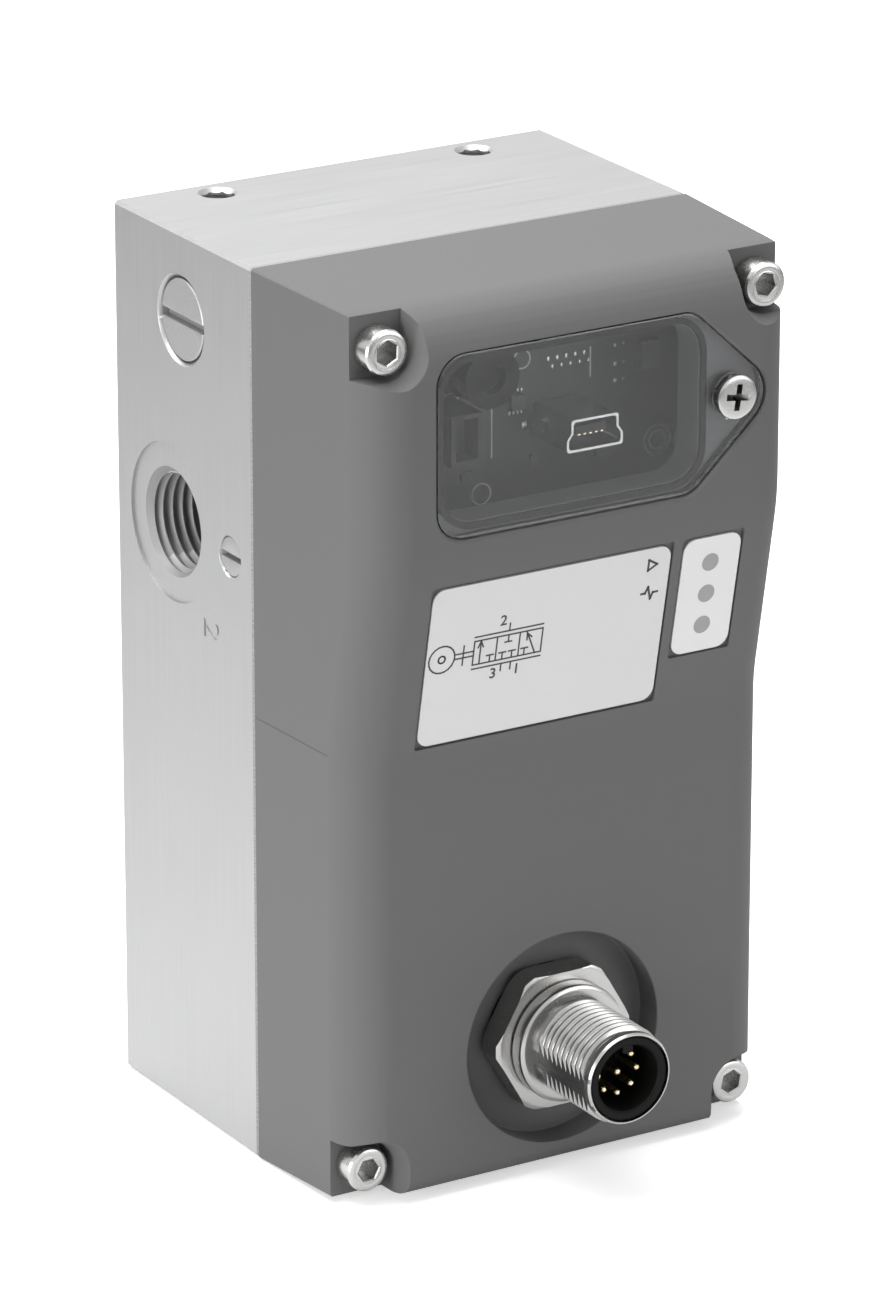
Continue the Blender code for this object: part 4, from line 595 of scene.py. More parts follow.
@dataclass(frozen=True)
class Machined:
    """Metal with fine machining lines."""

    name: str
    color: Color
    roughness: float = 0.35
    spread: float = 0.15
    metallic: float = 1.0
    scale: float = 3000.0
    stretch: float = 0.02
    depth: float = 0.004 * MM
    streak: float = 0.10
    mottle: float = 0.05
    mottle_scale: float = 70.0

    def build(self) -> Material:
        """Make the material."""
        made, shader = start_material(self.name, self.color)
        shade = put_effect(made, EFFECTS.mottle, Color=(*self.color, 1), Amount=self.mottle,
                           Scale=self.mottle_scale)
        lines = put_effect(made, EFFECTS.brushed, Color=shade["Color"], Scale=self.scale,
                           Stretch=self.stretch, Base=self.roughness, Spread=self.spread, Streak=self.streak)
        feed(shader, {"Metallic": self.metallic, "Base Color": lines["Color"],
                      "Roughness": lines["Roughness"], "Normal": bumped(made, lines["Height"], self.depth)})
        return made


@dataclass(frozen=True)
class Clear:
    """Clear plastic that shows what is behind it."""

    name: str
    color: Color = (0.93, 0.94, 0.95)
    roughness: float = 0.04
    ior: float = 1.42
    grain_scale: float = 700.0
    grain_depth: float = 0.0015 * MM
    opacity: float = 0.3

    def build(self) -> Material:
        """Make the material."""
        made, shader = start_material(self.name, self.color, self.opacity)
        grain = put_effect(made, EFFECTS.grain, Scale=self.grain_scale)
        feed(shader, {"Base Color": (*self.color, 1), "Roughness": self.roughness, "Transmission Weight": 1.0,
                      "IOR": self.ior, "Normal": bumped(made, grain["Height"], self.grain_depth)})
        return made


class Finish(Enum):
    """Every finish on the valve, by the piece that has it, and the darker materials that paint shade into its
    recesses.
    """

    BODY = Machined("body_aluminium", (0.39, 0.39, 0.394), 0.44, 0.16, 0.85, 3600, 0.012, 0.006 * MM, 0.24)
    BARE_ALUMINIUM = Machined("turned_aluminium", (0.66, 0.66, 0.66), 0.30, 0.12)
    COVER = Moulded("cover_plastic", (0.139, 0.139, 0.141), 0.40, 0.75, 0.09, 60, 4200, 0.014 * MM)
    LENS = Clear("lens_plastic")
    PLUG = Machined("plug_aluminium", (0.38, 0.38, 0.38), 0.46, 0.20, 0.85, 7000, 1.0, 0.010 * MM, 0.5)
    NICKEL = Machined("nickel_plate", (0.44, 0.438, 0.43), 0.24, 0.14, 1.0, 5200, 0.3, 0.002 * MM)
    ZINC = Machined("zinc_plate", (0.52, 0.52, 0.51), 0.24, 0.20, 1.0, 5200, 0.8, 0.003 * MM, 0.3)
    RECESS_SHADE_AND_DARK_FLAT = Machined("painted_recess_shade_and_dark_flat", (0.13, 0.13, 0.13), 0.34, 0.20, 0.9, 5200, 0.8, 0.004 * MM, 0.4)
    STEEL = Machined("ground_steel", (0.55, 0.55, 0.56), 0.30, 0.12)
    GOLD = Machined("gold_contact", (0.80, 0.69, 0.46), 0.22, 0.08, 1.0, 6000, 0.4, 0.001 * MM)
    INSERT = Moulded("insert_plastic", (0.004, 0.004, 0.004), 0.50, 0.12, 0.10, 300, 6000, 0.006 * MM)
    BLACK = Moulded("black_plastic", (0.030, 0.030, 0.031), 0.45)
    RUBBER = Moulded("seal_rubber", (0.010, 0.010, 0.010), 0.70, 0.2, 0.10, 200, 5000, 0.012 * MM)
    BOARD = Moulded("board_lacquer", (0.032, 0.033, 0.032), 0.45, 0.4, 0.12, 420, 900, 0.001 * MM)
    SILKSCREEN = Moulded("board_print", (0.42, 0.42, 0.42), 0.6, 0.4, 0.15, 900)
    LABEL = Moulded("label_film", (0.59, 0.59, 0.59), 0.36, 0.5, 0.03, 60, 3500, 0.003 * MM)
    LIGHT_FILM = Moulded("light_film", (0.67, 0.67, 0.67), 0.36, 0.5, 0.03, 60, 3500, 0.003 * MM)
    INK = Moulded("label_ink", (0.045, 0.045, 0.047), 0.45, 0.4, 0.10, 500)
    DOT = Moulded("light_dot", (0.29, 0.29, 0.295), 0.40, 0.5, 0.05, 500)
    MAGNET = Machined("sintered_magnet", (0.16, 0.16, 0.17), 0.45, 0.1, 0.6)
    THREAD = Machined("port_thread", (0.25, 0.25, 0.25), 0.62, 0.16, 0.80, 3600, 0.5, 0.006 * MM)
    CHAMFER = Machined("milled_edge", (0.27, 0.27, 0.274), 0.55, 0.25, 0.70, 500, 7.0, 0.03 * MM, 1.1)
    SOCKET = Machined("painted_socket_shade", (0.34, 0.34, 0.335), 0.28, 0.20, 1.0, 5200, 0.8, 0.004 * MM, 0.4)
    CHIP = Moulded("chip_resin", (0.05, 0.05, 0.05), 0.5, 0.4, 0.1, 500)

    def material(self) -> Material:
        """The finish's material, made on first use."""
        return bpy.data.materials.get(self.value.name) or self.value.build()


# Bench: where pieces are made, placed and named


@dataclass
class Bench:
    """Adds pieces to the scene and dresses the nodes of the frame."""

    frame: dict
    made: int = 0

    def box(self, node: str) -> tuple[Vector, Vector]:
        """Lowest and highest corner of a node."""
        low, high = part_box(node)
        return Vector(low), Vector(high)

    def center(self, node: str) -> Vector:
        """Middle of a node's box."""
        low, high = self.box(node)
        return (low + high) / 2

    def turned(self, node: str) -> tuple[tuple[float, float, float], float, float]:
        """Front end of the axis of a round piece that faces the front, its radius and its length."""
        low, high = self.box(node)
        middle = (low + high) / 2
        return (middle.x, low.y, middle.z), (high.x - low.x) / 2, high.y - low.y

    def add(self, name: str, mesh: Mesh, finish: Finish, slot: str, replaces: Sequence[str] = (),
            smooth: float | None = 32) -> bpy.types.Object:
        """Put a piece in the scene.

        Args:
            name: Name of the piece.
            mesh: Its mesh, in the frame.
            finish: Its finish.
            slot: The record's slot that the finish stands for; not used.
            replaces: Nodes that it stands for.
            smooth: Edges that turn by less than this, in degrees, are shaded smooth.

        Returns:
            The piece.
        """
        mesh.name = name
        mesh.materials.clear()
        mesh.materials.append(finish.material())
        item = bpy.data.objects.new(name, mesh)
        bpy.context.scene.collection.objects.link(item)
        if smooth is not None:
            mesh.shade_smooth()
            mesh.set_sharp_from_angle(angle=math.radians(smooth))
            weigh = item.modifiers.new("even_shading", "WEIGHTED_NORMAL")
            weigh.keep_sharp = True
        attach(item, HOUSING)
        if replaces:
            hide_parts(*replaces)
        self.made += 1
        log.info("made %s: %d faces", name, len(mesh.polygons))
        return item

    def paint_recess_shade(self, item: bpy.types.Object, middle: Place, reach: float, below: float,
               finish: Finish) -> None:
        """Give the faces sunk into a front opening a finish of their own.

        Args:
            item: The piece.
            middle: Middle of the opening.
            reach: Radius within which the faces lie.
            below: Depth past which they lie.
            finish: The darker material that paints the shade.
        """
        item.data.materials.append(finish.material())
        for face in item.data.polygons:
            away = face.center - Vector(middle)
            if math.hypot(away.x, away.z) < reach and away.y > below:
                face.material_index = 1

    def dress(self, finish: Finish, *nodes: str) -> None:
        """Give nodes of the frame a finish."""
        for name in nodes:
            node = self.frame["nodes"][name]
            node.data.materials.clear()
            node.data.materials.append(finish.material())
            log.info("dressed %s with %s", name, finish.value.name)


# Aluminium body


@dataclass
class ValveBody:
    """Machined body with its threaded ports, plug seats and fixing holes."""

    bench: Bench
    port_root: float = 5.90 * MM
    port_crest: float = 6.50 * MM
    port_pitch: float = 1.337 * MM
    port_mouth: float = 6.78 * MM
    port_mouth_depth: float = 0.9 * MM
    port_thread_depth: float = 11.0 * MM
    spotface: float = 9.86 * MM
    spotface_depth: float = 0.3 * MM
    plug_bore: float = 0.21 * MM
    plug_depth: float = 3.0 * MM
    plug_seat: float = 0.55 * MM
    small_seat: float = 0.15 * MM
    strip: float = 0.6 * MM
    fixing_root: float = 1.66 * MM
    fixing_crest: float = 2.02 * MM
    fixing_clearance: float = 0.25 * MM
    fixing_pitch: float = 0.7 * MM
    fixing_mouth: float = 2.42 * MM
    fixing_mouth_depth: float = 0.75 * MM
    fixing_depth: float = 8.0 * MM
    fixing_from_back: float = 4.0 * MM
    fixing_from_side: float = 12.1 * MM
    numeral_size: float = 5.4 * MM
    numeral_turn: float = -90.0
    numeral_depth: float = 0.14 * MM
    numeral_drop: float = 10.8 * MM
    numeral_shift: float = 9.4 * MM

    def build(self) -> None:
        """Make the body and add it."""
        low, high = self.bench.box("valve_body")
        source = welded(self.bench.frame["nodes"]["valve_body"].data)
        cutters: list[Mesh] = []
        axes: list[Point] = []
        for opening in self.bench.frame["record"]["physics"]["openings"]:
            corner, far = (Vector(point) for point in opening["box_m"])
            middle = (corner + far) / 2
            side, face = (Facing.LEFT, low.x) if middle.x < 0 else (Facing.RIGHT, high.x)
            cutters += self.port(opening["name"], side, (face, middle.y, middle.z))
            axes.append((middle.y, middle.z))
            place = (face, middle.y - self.numeral_shift, middle.z - self.numeral_drop)
            turn = Matrix.Rotation(math.radians(self.numeral_turn), 4, "Z")
            numeral = opening["name"].rsplit("_", 1)[-1]
            cutters.append(text_mesh(numeral, self.numeral_size, self.numeral_depth,
                                     side.matrix(place) @ turn))
        for node, seat in (("access_plug", self.plug_seat), ("channel_plug", self.small_seat)):
            cutters.append(self.plug_mouth(node, seat, low.x))
        y, reach = high.y - self.fixing_from_back, high.x - self.fixing_from_side
        for x in (-reach, reach):
            cutters += self.fixing(Facing.UP, (x, y, high.z))
            cutters += self.fixing(Facing.DOWN, (x, y, low.z))
        body = self.bench.add("machined_body", cut(source, *cutters), Finish.BODY, "anodised",
                              ["valve_body"], 12)
        # painted shade: the second material darkens the faces inside the ports; the third is the milled edge
        body.data.materials.append(Finish.THREAD.material())
        body.data.materials.append(Finish.CHAMFER.material())
        self.sort_faces(body.data, low, high, axes)

    def sort_faces(self, mesh: Mesh, low: Vector, high: Vector, axes: list[Point]) -> None:
        """Paint shade in the ports, give the milled front edges their finish, and keep the planes flat.

        Args:
            mesh: The body's mesh.
            low: Lowest corner of the body.
            high: Highest corner of the body.
            axes: Place (y, z) of each port's axis.
        """
        thread, chamfer = 1, 2
        slack = 0.05 * MM
        depth = self.spotface_depth + self.port_mouth_depth
        for face in mesh.polygons:
            place, normal = face.center, face.normal
            if max(abs(part) for part in normal) > 0.99999 and face.area > MM ** 2:
                face.use_smooth = False
            sunk = min(place.x - low.x, high.x - place.x)
            across = min(math.hypot(place.y - y, place.z - z) for y, z in axes)
            in_bore = self.port_root + 0.09 * MM < across < self.port_crest + 0.1 * MM
            in_mouth = self.spotface_depth + slack < sunk < depth and across < self.port_mouth
            # painted shade inside the ports: thread flanks below the mouth and the mouth cone get the darker
            # material
            if in_bore and sunk > depth + slack or in_mouth and abs(normal.x) < 0.99:
                face.material_index = thread
            elif max(sunk, place.y - low.y) < self.strip and min(abs(normal.x), abs(normal.y)) > 0.4:
                face.material_index = chamfer

    def port(self, name: str, facing: Facing, origin: Place) -> list[Mesh]:
        """Cutters of one port: spotface and mouth in one, and the threaded bore."""
        face, floor = -self.spotface_depth, -self.spotface_depth - self.port_mouth_depth
        mouth = [(0, PAST), (self.spotface, PAST), (self.spotface, face), (self.port_mouth, face),
                 (self.port_root + 0.1 * MM, floor), (0, floor)]
        return [
            lathe(f"{name}_mouth", mouth, 96, facing, origin),
            helix(f"{name}_thread", self.port_root + 0.03 * MM, self.port_crest, self.port_pitch,
                  -self.port_thread_depth, 0.0, 72, self.port_pitch / 3, facing, origin),
        ]

    def plug_mouth(self, node: str, seat: float, face: float) -> Mesh:
        """Cutter of the chamfered seat round a plug; seat is the chamfer's width."""
        low, high = self.bench.box(node)
        middle = (low + high) / 2
        bore = (high.z - low.z) / 2 + self.plug_bore
        profile = [(0, PAST), (bore + seat, PAST), (bore + seat, 0), (bore, -seat), (bore, -self.plug_depth),
                   (0, -self.plug_depth)]
        return lathe(f"{node}_mouth", profile, 96, Facing.LEFT, (face, middle.y, middle.z))

    def fixing(self, facing: Facing, origin: Place) -> list[Mesh]:
        """Cutters of one tapped fixing hole."""
        floor = -self.fixing_mouth_depth
        profile = [(0, PAST), (self.fixing_mouth, PAST), (self.fixing_mouth, 0), (self.fixing_root, floor),
                   (0, floor)]
        return [
            lathe("fixing_mouth", profile, 48, facing, origin),
            helix("fixing_thread", self.fixing_crest, self.fixing_crest + self.fixing_clearance,
                  self.fixing_pitch, -self.fixing_depth, 0.0, 36, self.fixing_pitch / 3, facing, origin),
        ]


@dataclass
class BodyPlugs:
    """Slotted plugs in the left face, and the cap under the motor."""

    bench: Bench
    large_slot: float = 1.15 * MM
    small_slot: float = 0.75 * MM
    slot_depth: float = 1.0 * MM
    slot_edge: float = 0.05 * MM
    longest: float = 2.8 * MM
    edge_share: float = 0.032
    fit: float = 0.12 * MM
    cap_edge: float = 0.4 * MM
    cap_groove: float = 0.05 * MM
    hole_mouth: float = 1.3 * MM
    hole_radius: float = 1.1 * MM
    hole_depth: float = 1.6 * MM
    hole_tip: float = 2.0 * MM

    def build(self) -> None:
        """Make the plugs and the cap."""
        self.plug("access_plug", self.large_slot, "slotted_access_plug")
        self.plug("channel_plug", self.small_slot, "slotted_channel_plug")
        self.cap()

    def plug(self, node: str, slot: float, name: str) -> None:
        """One slotted plug."""
        low, high = self.bench.box(node)
        middle = (low + high) / 2
        radius = (high.z - low.z) / 2 + self.fit
        length = min(high.x - low.x, self.longest)
        edge = self.edge_share * radius
        stem = radius - 2 * self.fit
        profile = [(0, 0), (radius - edge, 0), (radius, -edge), (radius, -length), (stem, -length),
                   (stem, low.x - high.x), (0, low.x - high.x)]
        origin = (low.x, middle.y, middle.z)
        body = lathe(name, profile, 96, Facing.LEFT, origin)
        opening = plate("slot", rounded_box(-2 * radius, 2 * radius, -slot / 2, slot / 2, slot * 0.08, 2),
                        -self.slot_depth, PAST, Facing.LEFT, origin)
        eased = ease_edges(cut(body, opening), self.slot_edge, 40)
        self.bench.add(name, eased, Finish.PLUG, "anodised", [node])

    def cap(self) -> None:
        """The cap, with a turned groove and two spanner holes."""
        low, high = self.bench.box("motor_cap")
        middle = (low + high) / 2
        radius, thickness = (high.x - low.x) / 2, high.z - low.z
        edge = self.cap_edge
        profile = [(0, 0), (radius * 0.45, 0), (radius * 0.47, -self.cap_groove), (radius * 0.5, 0),
                   (radius - edge, 0), (radius, -edge), (radius, -thickness), (0, -thickness)]
        cap = lathe("cap", profile, 96, Facing.DOWN, (middle.x, middle.y, low.z))
        flare = self.hole_mouth - self.hole_radius
        hole = [(0, PAST), (self.hole_mouth, PAST), (self.hole_mouth, 0), (self.hole_radius, -flare),
                (self.hole_radius, -self.hole_depth), (0, -self.hole_tip)]
        holes = [lathe("spanner_hole", hole, 32, Facing.DOWN,
                       (middle.x + side * radius * 2 / 3, middle.y, low.z))
                 for side in (-1, 1)]
        self.bench.add("turned_motor_cap", cut(cap, *holes), Finish.BARE_ALUMINIUM, "anodised", ["motor_cap"])


# Electronics cover


@dataclass(frozen=True)
class CoverSizes:
    """Driving sizes of the cover, measured from the joint with the body."""

    joint_y: float
    half_width: float
    height: float
    gap: float = 0.15 * MM
    upper: float = 26.0 * MM
    lower: float = 21.2 * MM
    slope_drop: float = 31.0 * MM
    slope_length: float = 24.0 * MM
    top_bend: float = 30.0 * MM
    low_bend: float = 22.0 * MM
    top_radius: float = 7.0 * MM
    bottom_radius: float = 2.0 * MM
    top_drop: float = 0.5 * MM
    bottom_rise: float = 1.0 * MM
    corner: float = 5.5 * MM
    draft: float = 0.050
    wall: float = 2.3 * MM
    pocket_depth: float = 5.3 * MM
    pocket_radius: float = 3.5 * MM
    pocket_wall: float = 1.5 * MM

    @property
    def slope_top(self) -> float:
        """Height where the sloping panel ends."""
        return self.height - self.slope_drop

    @property
    def slope_bottom(self) -> float:
        """Height where the sloping panel starts."""
        return self.slope_top - self.slope_length

    @property
    def tilt(self) -> float:
        """Lean of the sloping panel from upright, in radians."""
        return math.atan((self.upper - self.lower) / self.slope_length)

    def depth_at(self, z: float) -> float:
        """Distance of the front from the joint at a height on the sloping panel."""
        share = min(max((z - self.slope_bottom) / self.slope_length, 0.0), 1.0)
        return self.lower + (self.upper - self.lower) * share

    def on_panel(self, x: float, z: float, below: float = 0.0) -> Vector:
        """Point on the sloping panel, sunk below its face."""
        inward = Vector((0, math.cos(self.tilt), math.sin(self.tilt))) * below
        return Vector((x, self.joint_y - self.depth_at(z), z)) + inward

    def panel_solid(self, name: str, outline: Outline, *depths: float) -> Mesh:
        """Solid square to the sloping panel, between two depths below its face."""
        return solid(name, [[self.on_panel(x, z, depth) for x, z in outline] for depth in depths])


@dataclass
class ElectronicsCover:
    """Moulded cover with its pockets, window seat, label recesses and connector recess."""

    bench: Bench
    sizes: CoverSizes
    edge: float = 1.0 * MM
    trim: float = 0.25 * MM
    window_seat: float = 2.2 * MM
    window_sill: float = 1.7 * MM
    window_left: float = -20.4 * MM
    window_right: float = 16.8 * MM
    window_low: float = 84.0 * MM
    window_high: float = 106.6 * MM
    window_corner: float = 3.8 * MM
    window_tip: float = 4.4 * MM
    window_screw: float = 20.2 * MM
    opening_right: float = 16.0 * MM
    frame_depth: float = 6.5 * MM
    recess_radius: float = 13.3 * MM
    recess_depth: float = 4.0 * MM
    recess_wall: float = 2.3 * MM
    stem_radius: float = 6.45 * MM
    boss_wall: float = 2.2 * MM
    board_front: float = 11.5 * MM
    board_boss: float = 2.8 * MM
    screw_hole: float = 1.65 * MM
    mouth_ease: float = 0.3 * MM
    label_recess: float = 0.4 * MM
    label_margin: float = 0.3 * MM
    line_width: float = 0.18 * MM
    line_drop: float = 0.3 * MM
    line_depth: float = 0.05 * MM
    round_from: float = 6.6 * MM
    round_to: float = 104.2 * MM

    def profile(self, inset: float, steps: int) -> list[Point]:
        """Side outline as (distance from the joint, height), moved in by the inset."""
        s = self.sizes
        low, high = s.bottom_rise + inset, s.height - s.top_drop - inset
        shift = inset * math.tan(s.tilt / 2)
        back = s.gap if inset == 0 else -inset
        corners = [
            (back, inset, 0),
            (s.lower - inset, low, s.bottom_radius if inset == 0 else 0.5 * MM),
            (s.lower - inset, s.slope_bottom + shift, s.low_bend + inset),
            (s.upper - inset, s.slope_top + shift, s.top_bend - inset),
            (s.upper - inset, high, s.top_radius - inset),
            (back, s.height - inset, 0),
        ]
        return rounded(corners, steps)

    def shell(self, name: str, inset: float, corner: float, steps: int, corner_steps: int) -> Mesh:
        """Cover shape as level rings, with round upright corners and drafted sides.

        Args:
            name: Name of the mesh.
            inset: How far every face is moved in.
            corner: Radius of the upright corners; they end inside the screw pockets.
            steps: Facets in each bend of the side outline.
            corner_steps: Facets in each upright corner.

        Returns:
            The closed shape.
        """
        s = self.sizes
        outline = self.profile(inset, steps)
        (back, base), (_, roof) = outline[0], outline[-1]
        front = outline[1:-1]
        for z in (self.round_from - 0.5 * MM, self.round_from):
            front.append((s.lower - inset, z))
        for z in (self.round_to, self.round_to + 0.3 * MM):
            front.append((s.upper - inset, z))
        bottom, top = front[0][1], max(z for _, z in front)
        if inset == 0:
            front += [(self.front_at(z), z) for z in (bottom + self.trim, top - self.trim)]
        front.sort(key=lambda point: point[1])
        rings = []
        for row, (distance, z) in enumerate(front):
            radius = corner if self.round_from <= z <= self.round_to else 0.05 * MM
            end, trim = z, 0.0
            if inset > 0:
                end = {0: base, len(front) - 1: roof}.get(row, z)
            elif z <= bottom + self.trim * 1.001:
                end, trim = z - bottom + base, bottom + self.trim - z
            elif z >= top - self.trim * 1.001:
                end, trim = z - top + roof, z - top + self.trim
            half = s.half_width - inset - max(trim, 0.0)
            points = [(-half, back)]
            points += arc((radius - half, distance - radius), radius, 180, 90, corner_steps)
            points += arc((half - radius, distance - radius), radius, 90, 0, corner_steps)
            points.append((half, back))
            ring = []
            for x, depth in points:
                height = end + (z - end) * (depth - back) / (distance - back)
                ring.append((x * (1 - s.draft * depth / s.half_width), s.joint_y - depth, height))
            rings.append(ring)
        return solid(name, rings)

    def front_plate(self, name: str, outline: Outline, near: float, far: float) -> Mesh:
        """Plate that faces the front, between two distances from the joint."""
        return plate(name, outline, near, far, Facing.FRONT, (0, self.sizes.joint_y, 0))

    def front_rod(self, name: str, radius: float, place: Vector, near: float, far: float,
                  steps: int = 32) -> Mesh:
        """Rod along the depth at a place's x and z, between two distances from the joint."""
        return rod(name, radius, near, far, steps, (place.x, self.sizes.joint_y, place.z))

    def screw_places(self) -> list[Vector]:
        """Place of each cover screw."""
        return [self.bench.center(f"cover_screw_{number}") for number in range(1, 5)]

    def corner_region(self, place: Vector, reach: float) -> list[Point]:
        """Outline of the corner region round a cover screw."""
        s = self.sizes
        side, end = math.copysign(1, place.x), math.copysign(1, place.z - s.height / 2)
        near_x, near_z = place.x - side * reach, place.z - end * reach
        far_x, far_z = side * 2 * s.half_width, s.height / 2 + end * s.height
        outline = [(near_x, near_z, reach), (far_x, near_z, 0), (far_x, far_z, 0), (near_x, far_z, 0)]
        return rounded(outline, 12)

    def window_outline(self, inset: float) -> list[Point]:
        """Outline of the window, pointed towards its screw."""
        radius = self.window_corner - inset
        left, right = self.window_left + self.window_corner, self.window_right - self.window_corner
        low, high = self.window_low + self.window_corner, self.window_high - self.window_corner
        tip = (self.window_screw, (self.window_low + self.window_high) / 2, self.window_tip - inset)
        circles = [(left, low, radius), (right, low, radius), tip, (right, high, radius), (left, high, radius)]
        return band(circles, 10)

    def opening_outline(self, inset: float) -> list[Point]:
        """Outline of the opening behind the window."""
        grow = self.window_sill + inset
        return rounded_box(self.window_left + grow, self.opening_right - inset, self.window_low + grow,
                           self.window_high - grow, self.window_corner - inset, 10)

    def hollow(self) -> Mesh:
        """Inside of the cover, less its posts, bosses and window frame."""
        s = self.sizes
        far = s.upper + 2 * MM
        inside = self.shell("hollow", s.wall, s.corner - s.wall, 5, 5)
        keep = []
        for place in self.screw_places():
            region = self.corner_region(place, s.pocket_radius + s.pocket_wall)
            keep.append(self.front_plate("post", region, -s.wall, far))
        sill, back = self.window_sill, s.upper - self.frame_depth
        keep.append(block("window_frame", (self.window_left - sill, s.joint_y - far, self.window_low - sill),
                          (2 * s.half_width, s.joint_y - back, s.height)))
        place, radius = self.bench.center("connector_shell"), self.recess_radius + self.boss_wall
        wall, seat = s.lower - self.recess_depth - self.recess_wall, self.board_front + 0.2 * MM
        keep.append(self.front_rod("connector_boss", radius, place, wall, far, 64))
        for number in range(1, 5):
            place = self.bench.center(f"board_screw_{number}")
            keep.append(self.front_rod("board_boss", self.board_boss, place, seat, far))
        return cut(inside, *keep)

    def panel_recess(self, node: str) -> Mesh:
        """Cutter of the shallow recess round a label."""
        low, high = self.bench.box(node)
        margin = self.label_margin
        outline = rounded_box(low.x - margin, high.x + margin, low.z - margin, high.z + margin, 0.35 * MM, 3)
        return self.sizes.panel_solid("panel_recess", outline, self.label_recess, -self.sizes.wall)

    def front_at(self, z: float) -> float:
        """Distance of the front from the joint at any height."""
        outline = self.profile(0, 24)[1:-1]
        level = min(max(z, outline[0][1]), outline[-1][1])
        for (near, low), (far, high) in zip(outline, outline[1:]):
            if low <= level <= high and high > low:
                return near + (far - near) * (level - low) / (high - low)
        return outline[-1][0]

    def pocket(self, place: Vector) -> Mesh:
        """Cutter of one screw pocket: a flared wall whose rim rounds over into the front.

        Args:
            place: Place of the screw.

        Returns:
            The cutter.
        """
        s = self.sizes
        side, end = math.copysign(1, place.x), math.copysign(1, place.z - s.height / 2)
        far_x, far_z = 2 * side * s.half_width, s.height / 2 + end * s.height
        rim = s.height - s.top_drop if end > 0 else s.bottom_rise
        ledge = (s.upper if end > 0 else s.lower) - s.pocket_depth
        flare, past = self.edge - self.trim, (self.edge * 1.7, self.edge * 0.28)
        last = rim - end * 1.5 * MM
        # each level gives how far the wall stands out and its rise over the front, or None at the ledge
        levels = [(0.0, None), (0.0, -3 * self.edge), (0.06 * flare, -2.4 * self.edge)]
        for turn in map(math.radians, (22, 38, 54, 70)):
            levels.append((flare + self.trim * (1 - math.cos(turn)), self.trim * (math.sin(turn) - 1)))
        rings = []
        for offset, rise in levels + [past, (past[0], math.inf)]:
            reach = s.pocket_radius + offset
            wall = place.x - side * reach
            outline = [(far_x, place.z - end * reach)]
            for turn in (math.radians(90 * step / 16) for step in range(17)):
                outline.append((place.x - side * reach * math.sin(turn),
                                place.z - end * reach * math.cos(turn)))
            outline += [(wall, place.z + (rim - place.z) * step / 8) for step in range(1, 9)]
            outline += [(wall, far_z), (far_x, far_z)]
            ring = []
            for x, z in outline:
                distance = ledge if rise is None else s.upper + 3 * MM
                if rise is not None and rise < math.inf:
                    distance = self.front_at(min(z, last) if end > 0 else max(z, last)) + rise
                ring.append((x, s.joint_y - distance, z))
            rings.append(ring)
        return solid("pocket", rings)

    def side_lines(self) -> list[Mesh]:
        """Cutters of the fine mould line on each drafted side, at the foot of the sloping panel."""
        s = self.sizes
        reach = s.lower - s.corner
        inner, outer = s.half_width - self.line_depth, s.half_width + PAST
        face = [(inner, s.joint_y), (inner - s.draft * reach, s.joint_y - reach), (outer, s.joint_y - reach),
                (outer, s.joint_y)]
        low = s.slope_bottom - self.line_drop
        return [plate("mould_line", [(side * x, y) for x, y in face], low, low + self.line_width)
                for side in (-1, 1)]

    def window_cutters(self, far: float) -> list[Mesh]:
        """Cutters of the window's seat, of the opening behind it and of its screw's hole."""
        s, ease = self.sizes, self.mouth_ease
        back = s.upper - self.frame_depth - PAST
        mouth = [(0, s.upper - self.window_seat), (0, s.upper - ease), (-ease, s.upper),
                 (-2 * ease, s.upper + ease)]
        rings = [(self.window_outline(inset), distance) for inset, distance in mouth]
        screw = Vector((self.window_screw, 0, (self.window_low + self.window_high) / 2))
        return [
            loft("window_seat", rings, Facing.FRONT, (0, s.joint_y, 0)),
            self.front_plate("window_opening", self.opening_outline(0), back, far),
            self.front_rod("window_screw_hole", self.screw_hole, screw, back, far),
        ]

    def connector_recess(self, far: float) -> Mesh:
        """Cutter of the round recess of the connector, with its eased mouth and its stem's hole."""
        s, ease, radius = self.sizes, self.mouth_ease, self.recess_radius
        middle = self.bench.center("connector_shell")
        floor = s.lower - self.recess_depth
        wall = floor - self.recess_wall - PAST
        profile = [(0, far), (radius + 2 * ease, far), (radius + 2 * ease, s.lower + ease),
                   (radius + ease, s.lower), (radius + ease * 0.3, s.lower - ease * 0.3),
                   (radius, s.lower - ease), (radius, floor + ease), (radius - ease, floor),
                   (self.stem_radius, floor), (self.stem_radius, wall), (0, wall)]
        return lathe("connector_recess", profile, 128, Facing.FRONT, (middle.x, s.joint_y, middle.z))

    def build(self) -> None:
        """Make the cover and add it."""
        far = self.sizes.upper + 3 * MM
        places = self.screw_places()
        cutters = [self.pocket(place) for place in places]
        cutters.append(self.hollow())
        cutters += [self.front_rod("screw_hole", self.screw_hole, place, -PAST, far) for place in places]
        cutters += self.window_cutters(far)
        cutters.append(self.connector_recess(far))
        cutters += self.side_lines()
        cutters += [self.panel_recess(node) for node in ("type_label", "light_label")]
        made = cut(self.shell("outer", 0, self.sizes.corner, 10, 9), *cutters)
        self.bench.add("moulded_cover", made, Finish.COVER, "cover_plastic", ["electronics_cover"], 30)
        self.bench.dress(Finish.RUBBER, "cover_gasket")


